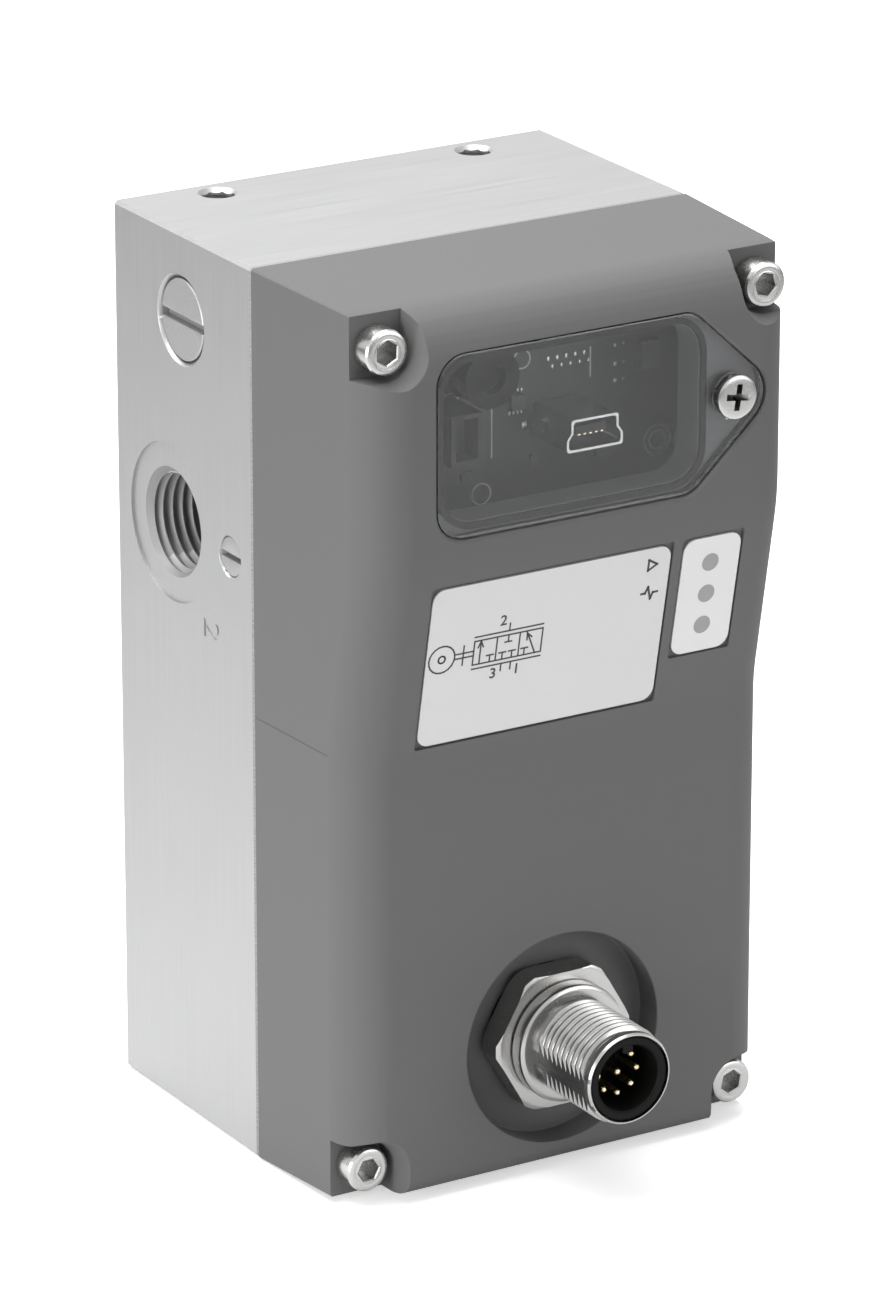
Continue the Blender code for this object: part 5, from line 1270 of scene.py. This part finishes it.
@dataclass
class CoverScrews:
    """Socket-head screws in the corner pockets."""

    bench: Bench
    socket: float = 2.5 * MM
    socket_depth: float = 1.6 * MM
    socket_chamfer: float = 0.18 * MM
    shank: float = 1.5 * MM
    head: float = 3.0 * MM
    head_edge: float = 0.15 * MM
    ring_depth: float = 0.03 * MM

    def build(self) -> None:
        """Make the four screws, each turned its own way."""
        for number in range(1, 5):
            self.screw(number, 11 + 17 * number)

    def screw(self, number: int, turn: float) -> None:
        """One screw; turn is its socket's, in degrees."""
        node = f"cover_screw_{number}"
        origin, radius, length = self.bench.turned(node)
        face = [(0, 0), (0.60, 0), (0.63, -self.ring_depth), (0.68, -self.ring_depth), (0.72, 0), (0.84, 0),
                (0.94, -0.10 * MM), (1, -0.36 * MM), (1, -self.head + self.head_edge)]
        profile = [(radius * share, height) for share, height in face]
        profile += [(radius - self.head_edge, -self.head), (self.shank, -self.head), (self.shank, -length),
                    (0, -length)]
        reach = self.socket / 2 / math.cos(math.radians(30))
        wide, narrow = polygon(reach + self.socket_chamfer, 6, turn), polygon(reach, 6, turn)
        levels = [(narrow, -self.socket_depth), (narrow, -0.15 * MM), (wide, 0.02 * MM), (wide, PAST)]
        recess = loft("socket", levels, Facing.FRONT, origin)
        point = [(0, -self.socket_depth - 0.5 * MM), (reach * 0.82, -self.socket_depth + 0.1 * MM),
                 (0, -self.socket_depth + 0.3 * MM)]
        drill = lathe("drill", point, 32, Facing.FRONT, origin)
        made = cut(lathe(node, profile, 64, Facing.FRONT, origin), recess, drill)
        item = self.bench.add(f"zinc_screw_{number}", made, Finish.ZINC, "steel", [node], 28)
        # painted shade: the faces deep in the hex socket get a darker material
        self.bench.paint_recess_shade(item, origin, reach * 0.99, 0.2 * MM, Finish.SOCKET)


@dataclass
class ServiceWindow:
    """Clear lens with its gasket and cross-recess screw."""

    bench: Bench
    cover: ElectronicsCover
    edge: float = 0.3 * MM
    side_gap: float = 0.2 * MM
    head_radius: float = 2.65 * MM
    head_gap: float = 0.25 * MM
    head_sink: float = 0.5 * MM
    crown: float = 0.20 * MM
    shank: float = 1.5 * MM
    shank_gap: float = 0.15 * MM
    cross_arm: float = 1.75 * MM

    def build(self) -> None:
        """Make the lens and its screw."""
        low, high = self.bench.box("window_lens")
        joint = self.cover.sizes.joint_y
        near, far = joint - high.y, joint - low.y
        gap, edge = self.side_gap, self.edge
        rings = [(gap, near), (gap, far - edge), (gap + edge * 0.3, far - edge * 0.3), (gap + edge, far)]
        lens = loft("lens", [(self.cover.window_outline(inset), height) for inset, height in rings],
                    Facing.FRONT, (0, joint, 0))
        middle = self.bench.center("window_screw")
        origin = (middle.x, joint, middle.z)
        seat = far - self.head_sink
        counterbore = rod("counterbore", self.head_radius + self.head_gap, seat, far + PAST, 64, origin)
        hole = rod("hole", self.shank + self.shank_gap, near - 3 * MM, far, 48, origin)
        self.bench.add("clear_lens", cut(lens, counterbore, hole), Finish.LENS, "clear_plastic",
                       ["window_lens"], 25)
        self.bench.dress(Finish.RUBBER, "window_gasket")
        self.screw(joint - seat)

    def screw(self, seat: float) -> None:
        """Pan-head screw with a cross recess, whose head rests on the seat."""
        origin, _, length = self.bench.turned("window_screw")
        radius, crown, under = self.head_radius, self.crown, origin[1] - seat
        turns = [math.radians(degrees) for degrees in (0, 15, 30, 45, 60)]
        profile = [(radius * math.sin(turn), -crown * (1 - math.cos(turn))) for turn in turns]
        profile += [(radius * 0.95, -crown * 0.75), (radius, -crown * 1.2), (radius, under),
                    (self.shank, under), (self.shank, -length), (0, -length)]
        body = lathe("cross_screw", profile, 72, Facing.FRONT, origin)
        levels = ((0.45, 0.2, -1.4), (1.0, 0.26, -1.0), (1.55, 0.36, -0.2), (self.cross_arm / MM, 0.42, 0.3))
        recess = [(self.cross(arm * MM, half * MM), height * MM) for arm, half, height in levels]
        made = cut(body, loft("cross", recess, Facing.FRONT, origin))
        item = self.bench.add("cross_recess_screw", made, Finish.ZINC, "nickel", ["window_screw"], 30)
        # painted shade: the faces deep in the cross recess get a darker material
        self.bench.paint_recess_shade(item, origin, self.cross_arm, 0.16 * MM, Finish.RECESS_SHADE_AND_DARK_FLAT)

    @staticmethod
    def cross(arm: float, half: float) -> list[Point]:
        """Outline of a plus sign, turned a little."""
        points = []
        for turn in range(4):
            spin = Matrix.Rotation(math.radians(90 * turn - 8), 2)
            points += [tuple(spin @ Vector(point)) for point in ((arm, -half), (arm, half), (half, half))]
        return points


# Labels and lights


@dataclass
class LabelPanel:
    """Two film labels, with a flow schematic and light dots printed on them."""

    bench: Bench
    sizes: CoverSizes
    line: float = 0.20 * MM
    ink: float = 0.02 * MM
    recess: float = 0.4 * MM
    thickness: float = 0.30 * MM
    sign_line: float = 0.28 * MM
    dot_radius: float = 1.15 * MM
    dot_step: float = 4.15 * MM
    strokes: list[Mesh] = field(default_factory=list)

    def build(self) -> None:
        """Dress the labels and print them."""
        self.bench.dress(Finish.LABEL, "type_label")
        self.bench.dress(Finish.LIGHT_FILM, "light_label")
        self.bench.dress(Finish.LENS, "light_guide")
        self.print_schematic()
        self.print_marks()
        self.print_dots()

    def face(self) -> float:
        """How far the labels' face lies below the panel."""
        return self.recess - 0.05 * MM - self.thickness

    def printed(self, name: str, points: Outline) -> Mesh:
        """Thin film of ink with the outline given as (x, z) on the panel."""
        return self.sizes.panel_solid(name, points, self.face() - 0.002 * MM, self.face() - self.ink)

    def stroke(self, start: Point, end: Point, width: float | None = None) -> None:
        """Straight printed line between two points in millimetres, (x, z)."""
        half = (width or self.line) / 2
        a, b = Vector(start) * MM, Vector(end) * MM
        along = (b - a).normalized()
        side = Vector((-along.y, along.x)) * half
        a, b = a - along * half, b + along * half
        corners = [tuple(point) for point in (a - side, b - side, b + side, a + side)]
        self.strokes.append(self.printed("stroke", corners))

    def path(self, points: Outline, width: float | None = None) -> None:
        """Printed line through points in millimetres."""
        for start, end in zip(points, points[1:]):
            self.stroke(start, end, width)

    def finish_print(self, name: str) -> None:
        """Join the strokes made so far into one piece."""
        self.bench.add(name, merged(name, self.strokes), Finish.INK, "black_plastic", smooth=None)

    def print_schematic(self) -> None:
        """Flow schematic, in millimetres: a motor, its link, three boxes and the three ports."""
        left, low, side, rail, stub = -14.1, 67.5, 3.1, 0.55, 1.5
        top, middle, last, right = low + side, left + side, left + 2 * side, left + 3 * side
        for number in range(4):
            x = left + number * side
            self.stroke((x, low), (x, top))
        for z in (low, top, top + rail, low - rail):
            self.stroke((left, z), (right, z))
        self.stroke((left + 0.9, low), (left + 0.9, top))
        self.arrow((left + 0.9, low + 0.3), (left + 0.9, top - 0.1))
        for x, z, way in ((left + 2.3, low, 1), (middle + 0.9, low, 1), (middle + 2.2, low, 1),
                          (middle + 1.55, top, -1)):
            self.tee((x, z), way)
        self.stroke((last + 2.3, low), (last + 0.9, top))
        self.arrow((last + 2.3, low + 0.1), (last + 1.0, top - 0.3))
        self.tee((last + 0.8, low), 1)
        self.stroke((middle + 1.55, top + rail), (middle + 1.55, top + stub))
        for x in (middle + 0.9, middle + 2.2):
            self.stroke((x, low - rail), (x, low - stub))
        x, z, radius = left - 4.3, low + side / 2, 1.75
        for circle in (radius, 0.45):
            self.path(arc((x, z), circle, 0, 360, 20))
        for rise in (0.3, -0.3):
            self.stroke((x + radius, z + rise), (left, z + rise))
        self.stroke((left - 1.4, low + 0.3), (left - 1.4, top - 0.3))
        for words, x, z in (("2", middle + 0.6, top + 2.0), ("3", middle - 0.1, low - 1.7),
                            ("1", middle + 3.1, low - 1.7)):
            self.numeral(words, x, z, 1.9)
        self.finish_print("printed_schematic")

    def arrow(self, tail: Point, tip: Point) -> None:
        """Arrowhead at the end of a line."""
        along = (Vector(tip) - Vector(tail)).normalized()
        for side in (-1, 1):
            wing = Vector(tip) - along * 0.8 + Vector((-along.y, along.x)) * 0.35 * side
            self.stroke(tip, tuple(wing))

    def tee(self, foot: Point, way: int) -> None:
        """Blocked port: a short stem with a bar."""
        end = (foot[0], foot[1] + way * 0.9)
        self.stroke(foot, end)
        self.stroke((end[0] - 0.45, end[1]), (end[0] + 0.45, end[1]))

    def numeral(self, words: str, x: float, z: float, size: float) -> None:
        """Printed numeral on the panel, centred at (x, z) in millimetres."""
        place = self.sizes.on_panel(x * MM, z * MM, self.face() - self.ink / 2)
        matrix = Matrix.Translation(place) @ Matrix.Rotation(math.radians(90) + self.sizes.tilt, 4, "X")
        self.strokes.append(text_mesh(words, size * MM, self.ink / 2, matrix, 0.03 * MM))

    def print_marks(self) -> None:
        """Plain signs beside the lights, in millimetres: a running triangle and a pulse."""
        x, z = 9.0, 76.1
        self.path([(x, z - 0.7), (x, z + 0.7), (x + 1.2, z), (x, z - 0.7)], self.sign_line)
        z = 72.4
        pulse = ((-0.5, 0), (0, 0), (0.35, 0.8), (0.8, -0.8), (1.1, 0), (1.7, 0))
        self.path([(x + along, z + rise) for along, rise in pulse], self.sign_line)
        self.finish_print("printed_light_signs")

    def print_dots(self) -> None:
        """Three translucent dots over the lights."""
        middle = self.bench.center("light_label")
        for number, step in enumerate((1, 0, -1), 1):
            outline = arc((middle.x, middle.z + step * self.dot_step), self.dot_radius, 0, 360, 40)[:-1]
            name = f"light_dot_{number}"
            self.bench.add(name, self.printed(name, outline), Finish.DOT, "clear_plastic", smooth=None)


# Circuit board behind the window


@dataclass
class CircuitBoard:
    """The boards, and the small parts that show through the window."""

    bench: Bench
    face: float = 0.0
    parts: list[Mesh] = field(default_factory=list)

    def build(self) -> None:
        """Dress the boards and add the small parts."""
        self.bench.dress(Finish.BOARD, "main_board", "sensor_board")
        self.bench.dress(Finish.INSERT, "power_inductor")
        self.bench.dress(Finish.BLACK, "motor_header", "socket_tongue")
        self.bench.dress(Finish.STEEL, *[f"board_screw_{number}" for number in range(1, 5)],
                         "pressure_sensor")
        self.bench.dress(Finish.NICKEL, "service_socket")
        self.face = self.bench.box("main_board")[0].y
        self.socket()
        self.chips()
        self.pads()
        self.silkscreen()

    def put(self, width: float, tall: float, height: float, *places: Point) -> None:
        """Put boxes of one size on the board's face at (x, z), all in millimetres."""
        for x, z in places:
            low = ((x - width / 2) * MM, self.face - height * MM, (z - tall / 2) * MM)
            high = ((x + width / 2) * MM, self.face - 0.01 * MM, (z + tall / 2) * MM)
            self.parts.append(block("part", low, high))

    def flush(self, name: str, finish: Finish, slot: str, edge: float = 0.0) -> None:
        """Join the parts made so far into one piece, with its edges eased."""
        mesh = merged(name, self.parts)
        self.bench.add(name, ease_edges(mesh, edge) if edge > 0 else mesh, finish, slot, smooth=35)

    def socket(self) -> None:
        """Contacts and fixing tabs of the service socket."""
        low, high = self.bench.box("socket_tongue")
        half = 0.15 * MM
        for number in range(5):
            x = low.x + (high.x - low.x) * (0.12 + 0.19 * number)
            self.parts.append(block("contact", (x - half, low.y - 0.02 * MM, low.z - 0.06 * MM),
                                    (x + half, high.y, low.z + 0.1 * MM)))
        self.flush("socket_contacts", Finish.GOLD, "gold")
        middle = self.bench.center("service_socket")
        self.put(0.7, 0.9, 0.4, *[(middle.x / MM + side * 4.6, middle.z / MM - 0.6) for side in (-1, 1)])
        self.flush("socket_tabs", Finish.NICKEL, "nickel", 0.06 * MM)

    def chips(self) -> None:
        """Resin chips and small two-ended parts."""
        for x, z, *size in ((-2.6, 103.2, 3.4, 2.0, 1.0), (-1.4, 94.4, 1.9, 1.9, 0.8),
                            (16.8, 97.4, 2.6, 3.4, 1.0), (10.8, 86.6, 2.6, 1.6, 0.8),
                            (-8.2, 86.4, 1.6, 0.9, 0.5), (1.0, 86.8, 0.9, 1.6, 0.5)):
            self.put(*size, (x, z))
        self.flush("board_chips", Finish.CHIP, "black_plastic", 0.08 * MM)

    def pads(self) -> None:
        """Soldered pins and pads, in rows."""
        for number in range(5):
            self.put(0.35, 0.5, 0.12, (3.1 + 1.25 * number, 98.9))
            self.put(0.30, 0.4, 0.12, (3.7 + 1.25 * number, 97.9))
        for z in (99.2, 96.9, 94.8):
            self.put(0.45, 0.5, 0.3, (12.3, z))
            self.put(0.35, 0.3, 0.2, (13.5, z))
        for number in range(4):
            x = -2.2 + 0.55 * number
            self.put(0.2, 0.5, 0.12, (x, 95.7), (x, 93.1))
        self.flush("board_pads", Finish.NICKEL, "nickel", 0.05 * MM)

    def silkscreen(self) -> None:
        """Thin printed lines: an outline round the header, two rules and four rings."""
        wide, thick, margin = 0.16, 0.03, Vector((0.5, 0, 0.5))
        low, high = self.bench.box("motor_header")
        low, high = low / MM - margin, high / MM + margin
        middle, size = (low + high) / 2, high - low
        self.put(size.x, wide, thick, (middle.x, low.z), (middle.x, high.z))
        self.put(wide, size.z, thick, (low.x, middle.z), (high.x, middle.z))
        self.put(wide, 7.5, thick, (-4.6, 91.7))
        self.put(wide, 3.7, thick, (8.95, 97.6))
        for x, z, radius in ((-6.0, 83.8, 1.35), (-0.5, 99.4, 1.2), (18.4, 86.4, 1.9), (18.4, 86.4, 1.2)):
            corners = ((radius, 0.01), (radius, thick), (radius - wide, thick), (radius - wide, 0.01))
            self.parts.append(lathe("ring", [(a * MM, b * MM) for a, b in corners], 40, Facing.FRONT,
                                    (x * MM, self.face, z * MM), closed=True))
        self.flush("board_silkscreen", Finish.SILKSCREEN, "label")


# Round connector


@dataclass
class RoundConnector:
    """Threaded shell with its hexagon, the insert and the contact pins."""

    bench: Bench
    hexagon: float = 17.0 * MM
    hexagon_thickness: float = 3.6 * MM
    collar: float = 7.45 * MM
    collar_length: float = 2.2 * MM
    thread: float = 6.0 * MM
    thread_root: float = 5.42 * MM
    pitch: float = 1.0 * MM
    flat: float = 5.32 * MM
    flat_turn: float = 190.0
    groove: float = 0.10 * MM
    stem: float = 6.3 * MM
    bore: float = 5.425 * MM
    inner_bore: float = 5.06 * MM
    seat: float = 1.0 * MM
    seal_gap: float = 0.075 * MM
    rim: float = 5.62 * MM
    runout: float = 0.35 * MM
    collar_ease: float = 0.35 * MM
    corner_turning: float = 0.42 * MM
    hollow: float = 4.15 * MM
    hollow_depth: float = 7.0 * MM
    insert_rim: float = 0.25 * MM
    insert_gap: float = 0.03 * MM
    pin: float = 0.5 * MM
    pin_hole: float = 0.58 * MM
    origin: Place = (0, 0, 0)
    length: float = 0.0
    back: float = 0.0

    def build(self) -> None:
        """Make the connector."""
        self.origin, _, self.length = self.bench.turned("connector_shell")
        seal, _ = self.bench.box("connector_seal")
        self.back = -(seal.y - self.origin[1]) + self.seal_gap
        self.shell()
        self.insert()
        self.pins()
        self.bench.dress(Finish.RUBBER, "connector_seal")
        self.bench.dress(Finish.NICKEL, "connector_lock_nut")

    def turning(self, name: str, profile: Outline, steps: int = 128) -> Mesh:
        """Turned shape on the connector's axis, with its heights from the front rim."""
        return lathe(name, profile, steps, Facing.FRONT, self.origin)

    def shell(self) -> None:
        """Hexagon, collar and thread in one piece, bored through."""
        front = self.back + self.hexagon_thickness
        end = front + self.collar_length
        radius, ease, step = self.collar, self.collar_ease, self.back + 0.6 * MM
        neck, core = radius - 0.55 * MM, self.thread_root - 0.08 * MM
        made = self.turning("shell", [
            (0, -self.length), (self.stem, -self.length), (self.stem, step), (neck, step),
            (neck, front - 0.25 * MM), (neck, front + 0.1 * MM), (radius, front + 0.3 * MM),
            (radius, end - ease * 1.6), (radius - ease * 0.3, end - ease * 0.6),
            (radius - ease, end - ease * 0.1), (radius - ease * 2, end), (core, end), (core, 0), (0, 0)])
        thread = helix("thread", self.thread_root, self.thread, self.pitch, end + self.runout, -self.runout,
                       96, 0.6 * MM, Facing.FRONT, self.origin)
        wide, narrow, low = self.rim + 0.1 * MM, self.rim - 0.05 * MM, -1.05 * MM
        lip = self.turning("lip", [(0, low), (wide, low), (wide, -0.25 * MM), (narrow, 0), (0, 0)])
        made = combine(made, [self.hexagon_plate(front), thread, lip], Joining.ADD)
        far = -self.length - PAST
        bore = self.turning("bore", [(0, far), (self.inner_bore, far), (self.inner_bore, -self.seat),
                                     (self.bore, -self.seat), (self.bore, PAST), (0, PAST)])
        made = cut(made, bore, self.flat_cutter(end))
        item = self.bench.add("nickel_connector_shell", made, Finish.NICKEL, "nickel",
                              ["connector_shell"], 30)
        self.dull_flat(item)

    def dull_flat(self, item: bpy.types.Object) -> None:
        """Give the flat along the thread a darker, duller material, shared with the painted recess shade."""
        item.data.materials.append(Finish.RECESS_SHADE_AND_DARK_FLAT.material())
        turn = math.radians(self.flat_turn)
        way = Vector((math.cos(turn), 0, math.sin(turn)))
        for face in item.data.polygons:
            place = face.center - Vector(self.origin)
            near = abs(place.dot(way) - self.flat) < self.groove * 1.1
            if near and math.hypot(place.x, place.z) < self.thread and face.normal.dot(way) > 0.6:
                face.material_index = 1

    def hexagon_plate(self, front: float) -> Mesh:
        """Hexagon with the corners turned off in front and behind."""
        back = self.back
        reach = self.hexagon / 2 / math.cos(math.radians(30))
        outline = rounded([(*point, 0.5 * MM) for point in polygon(reach, 6)], 4)
        tip, turn = reach - self.corner_turning, self.hexagon / 2 * 1.03
        drop = (tip - turn) * math.tan(math.radians(26))
        turned = self.turning("turning", [(0, back), (turn, back), (tip, back + drop), (tip, front - drop),
                                          (turn, front), (0, front)])
        solid_hexagon = plate("hexagon", outline, back, front, Facing.FRONT, self.origin)
        return combine(solid_hexagon, [turned], Joining.COMMON)

    def flat_cutter(self, start: float) -> Mesh:
        """Box that takes a flat off one side of the thread, with a fine groove along its middle."""
        far, half, groove = self.thread + PAST, 4 * MM, self.groove
        outline = [(far, -half), (far, half), (self.flat, half), (self.flat, groove), (self.flat - groove, 0),
                   (self.flat, -groove), (self.flat, -half)]
        spin = Matrix.Rotation(math.radians(self.flat_turn), 2)
        turned = [tuple(spin @ Vector(point)) for point in outline]
        return plate("flat", turned, start + 0.5 * MM, -1.3 * MM, Facing.FRONT, self.origin)

    def insert(self) -> None:
        """Black insert with its hollow, key and pin holes."""
        place, radius, length = self.bench.turned("connector_insert")
        face = -(place[1] - self.origin[1])
        hollow, rim = self.hollow, self.insert_rim
        floor, end = face - self.hollow_depth, face - length
        stem, step = self.inner_bore - self.insert_gap, -self.seat + self.insert_gap
        made = self.turning("insert", [
            (0, floor), (hollow, floor), (hollow, face - rim), (hollow + rim, face), (radius - rim, face),
            (radius, face - rim), (radius, step), (stem, step), (stem, end), (0, end)], 96)
        outline = rounded_box(-0.7 * MM, 0.7 * MM, hollow - 0.95 * MM, hollow + 0.5 * MM, 0.3 * MM, 4)
        key = plate("key", outline, floor - 0.2 * MM, face - 0.3 * MM, Facing.FRONT, self.origin)
        made = combine(made, [key], Joining.ADD)
        holes = []
        for number in range(1, 9):
            pin = self.bench.center(f"contact_pin_{number}")
            holes.append(rod("pin_hole", self.pin_hole, floor - 1.2 * MM, face, 24,
                             (pin.x, self.origin[1], pin.z)))
        self.bench.add("black_insert", cut(made, *holes), Finish.INSERT, "black_plastic",
                       ["connector_insert"], 30)

    def pins(self) -> None:
        """Contact pins with round tips."""
        radius = self.pin
        tip = [(max(a, 0.0) if a > 1e-7 else 0.0, b) for a, b in arc((0, -radius), radius, 90, 0, 6)]
        for number in range(1, 9):
            node = f"contact_pin_{number}"
            origin, _, length = self.bench.turned(node)
            mesh = lathe(node, tip + [(radius, -length), (0, -length)], 24, Facing.FRONT, origin)
            self.bench.add(f"gold_pin_{number}", mesh, Finish.GOLD, "gold", [node], 30)


# Pieces inside the body


@dataclass
class InnerParts:
    """Finishes of the pieces inside the bore."""

    bench: Bench

    def build(self) -> None:
        """Dress them."""
        self.bench.dress(Finish.STEEL, "spool_sleeve", "rotary_spool", "motor_can", "motor_rotor")
        for end in ("lower", "upper"):
            self.bench.dress(Finish.STEEL, f"{end}_bearing_outer_ring", f"{end}_bearing_balls",
                             f"{end}_bearing_inner_ring")
        self.bench.dress(Finish.RUBBER, *[f"sleeve_o_ring_{number}" for number in range(1, 5)])
        self.bench.dress(Finish.BARE_ALUMINIUM, "shaft_coupling", "sleeve_spacer")
        self.bench.dress(Finish.BLACK, "motor_end_cap", "magnet_holder")
        self.bench.dress(Finish.MAGNET, "motor_magnets", "sensor_magnet")


# Studio


@dataclass
class Studio:
    """Floor, world, lamps and camera."""

    azimuth: float = -31.10
    elevation: float = 19.92
    eye: tuple[float, float, float] = (-0.42474, -0.69461, 0.35437)
    focal_pixels: float = 7233.7
    picture_height: float = 1311.0
    sensor: float = 36.0
    world_light: float = 0.31
    painted_falloff_near: float = 0.92
    painted_falloff_far: float = 0.40
    painted_falloff_reach: float = 0.45
    floor_glow: float = 0.52

    def build(self) -> None:
        """Set up everything round the valve."""
        bpy.context.scene.view_settings.view_transform = "Standard"
        self.floor()
        self.world()
        self.lamp("overhead", (-0.10, 0.15, 0.75), (0, 0, 0.08), 0.75, 0.75, 11.5)
        self.lamp("left_side", (-0.60, -0.12, 0.12), (0, 0, 0.03), 0.35, 0.22, 2.4)
        self.lamp("front_fill", (0.55, -0.85, 0.30), (0, 0, 0.04), 0.6, 0.5, 2.6)
        self.camera()

    def lamp(self, name: str, place: Place, target: Place, width: float, height: float, watts: float) -> None:
        """Soft rectangular lamp that looks at a point."""
        light = bpy.data.lights.new(name, "AREA")
        light.shape = "RECTANGLE"
        light.size, light.size_y = width, height
        light.energy = watts
        item = bpy.data.objects.new(name, light)
        item.location = place
        item.rotation_euler = (Vector(target) - Vector(place)).to_track_quat("-Z", "Y").to_euler()
        bpy.context.scene.collection.objects.link(item)

    @staticmethod
    def seen_by(tree: Tree, *kinds: str) -> Socket:
        """Socket that is 1 for the named kinds of ray and 0 for the rest."""
        rays = add_node(tree, "LightPath").outputs
        seen = rays[kinds[0]]
        for kind in kinds[1:]:
            seen = add_math(tree, "MAXIMUM", seen, rays[kind])
        return seen

    @staticmethod
    def mixed(tree: Tree, share: Socket, usual: Node, other: Node, output: Node) -> None:
        """Send the usual shader out, or the other one where the share is 1."""
        mix = add_node(tree, "MixShader", {"Fac": share, 1: usual.outputs[0], 2: other.outputs[0]})
        feed(output, {"Surface": mix.outputs[0]})

    def world(self) -> None:
        """Light at a plain level that looks white to the camera, in reflections and through glass."""
        world = bpy.data.worlds.new("studio")
        world.use_nodes = True
        bpy.context.scene.world = world
        tree = world.node_tree
        light = feed(tree.nodes["Background"], {"Color": (1, 1, 1, 1), "Strength": self.world_light})
        white = add_node(tree, "Background", {"Color": (1, 1, 1, 1)})
        seen = self.seen_by(tree, "Is Camera Ray", "Is Glossy Ray", "Is Transmission Ray")
        self.mixed(tree, seen, light, white, tree.nodes["World Output"])

    def floor(self) -> None:
        """Pale paper with a painted falloff of light, darker far away, that looks white to the camera outside
        the shadow.
        """
        shape = bmesh.new()
        bmesh.ops.create_grid(shape, x_segments=1, y_segments=1, size=6.0)
        mesh = bpy.data.meshes.new("floor")
        shape.to_mesh(mesh)
        shape.free()
        made, shader = start_material("floor_paper", (0.8, 0.8, 0.8))
        tree = made.node_tree
        place = add_node(tree, "TexCoord").outputs["Object"]
        away = add_node(tree, "VectorMath", {0: place}, operation="LENGTH").outputs["Value"]
        # painted shade: the paper's colour falls off away from the valve, standing in for the lamps' falloff
        # in reflections and bounce light
        shade = add_node(tree, "MapRange", {"Value": away, "From Min": 0.04, "From Max": self.painted_falloff_reach,
                                            "To Min": self.painted_falloff_near, "To Max": self.painted_falloff_far})
        feed(shader, {"Base Color": shade.outputs["Result"], "Roughness": 0.9, "Specular IOR Level": 0.0})
        paper = add_node(tree, "BsdfDiffuse", {"Color": (0.8, 0.8, 0.8, 1)})
        glow = add_node(tree, "Emission", {"Strength": self.floor_glow})
        both = add_node(tree, "AddShader", {0: paper.outputs[0], 1: glow.outputs[0]})
        seen = self.seen_by(tree, "Is Camera Ray", "Is Transmission Ray")
        self.mixed(tree, seen, shader, both, tree.nodes["Material Output"])
        mesh.materials.append(made)
        item = bpy.data.objects.new("floor", mesh)
        item.location.z = -0.0001
        bpy.context.scene.collection.objects.link(item)
        item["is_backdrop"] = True

    def camera(self) -> None:
        """Camera at the photograph's viewing angle."""
        a, e = math.radians(self.azimuth), math.radians(self.elevation)
        back = Vector((math.sin(a) * math.cos(e), -math.cos(a) * math.cos(e), math.sin(e)))
        data = bpy.data.cameras.new("camera")
        data.sensor_width = self.sensor
        data.lens = self.sensor * self.focal_pixels / self.picture_height
        data.clip_start, data.clip_end = 0.01, 50
        item = bpy.data.objects.new("camera", data)
        item.location = self.eye
        item.rotation_euler = (-back).to_track_quat("-Z", "Y").to_euler()
        bpy.context.scene.collection.objects.link(item)
        bpy.context.scene.camera = item


def corners(box: tuple) -> list[list[float]]:
    """A box as plain lists of numbers."""
    return [[round(value, 6) for value in corner] for corner in box]


def main() -> None:
    """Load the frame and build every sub-assembly."""
    logging.basicConfig(level=logging.INFO, format="%(name)s: %(message)s")
    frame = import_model()
    before = corners(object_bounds())
    bench = Bench(frame)
    body_low, body_high = bench.box("valve_body")
    sizes = CoverSizes(body_low.y, body_high.x, body_high.z)
    ValveBody(bench).build()
    BodyPlugs(bench).build()
    cover = ElectronicsCover(bench, sizes)
    cover.build()
    CoverScrews(bench).build()
    ServiceWindow(bench, cover).build()
    LabelPanel(bench, sizes).build()
    CircuitBoard(bench).build()
    RoundConnector(bench).build()
    InnerParts(bench).build()
    Studio().build()
    log.info("%d new pieces", bench.made)
    json.dumps({"cad": before, "visual": corners(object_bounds())})


if __name__ == "__main__":
    main()
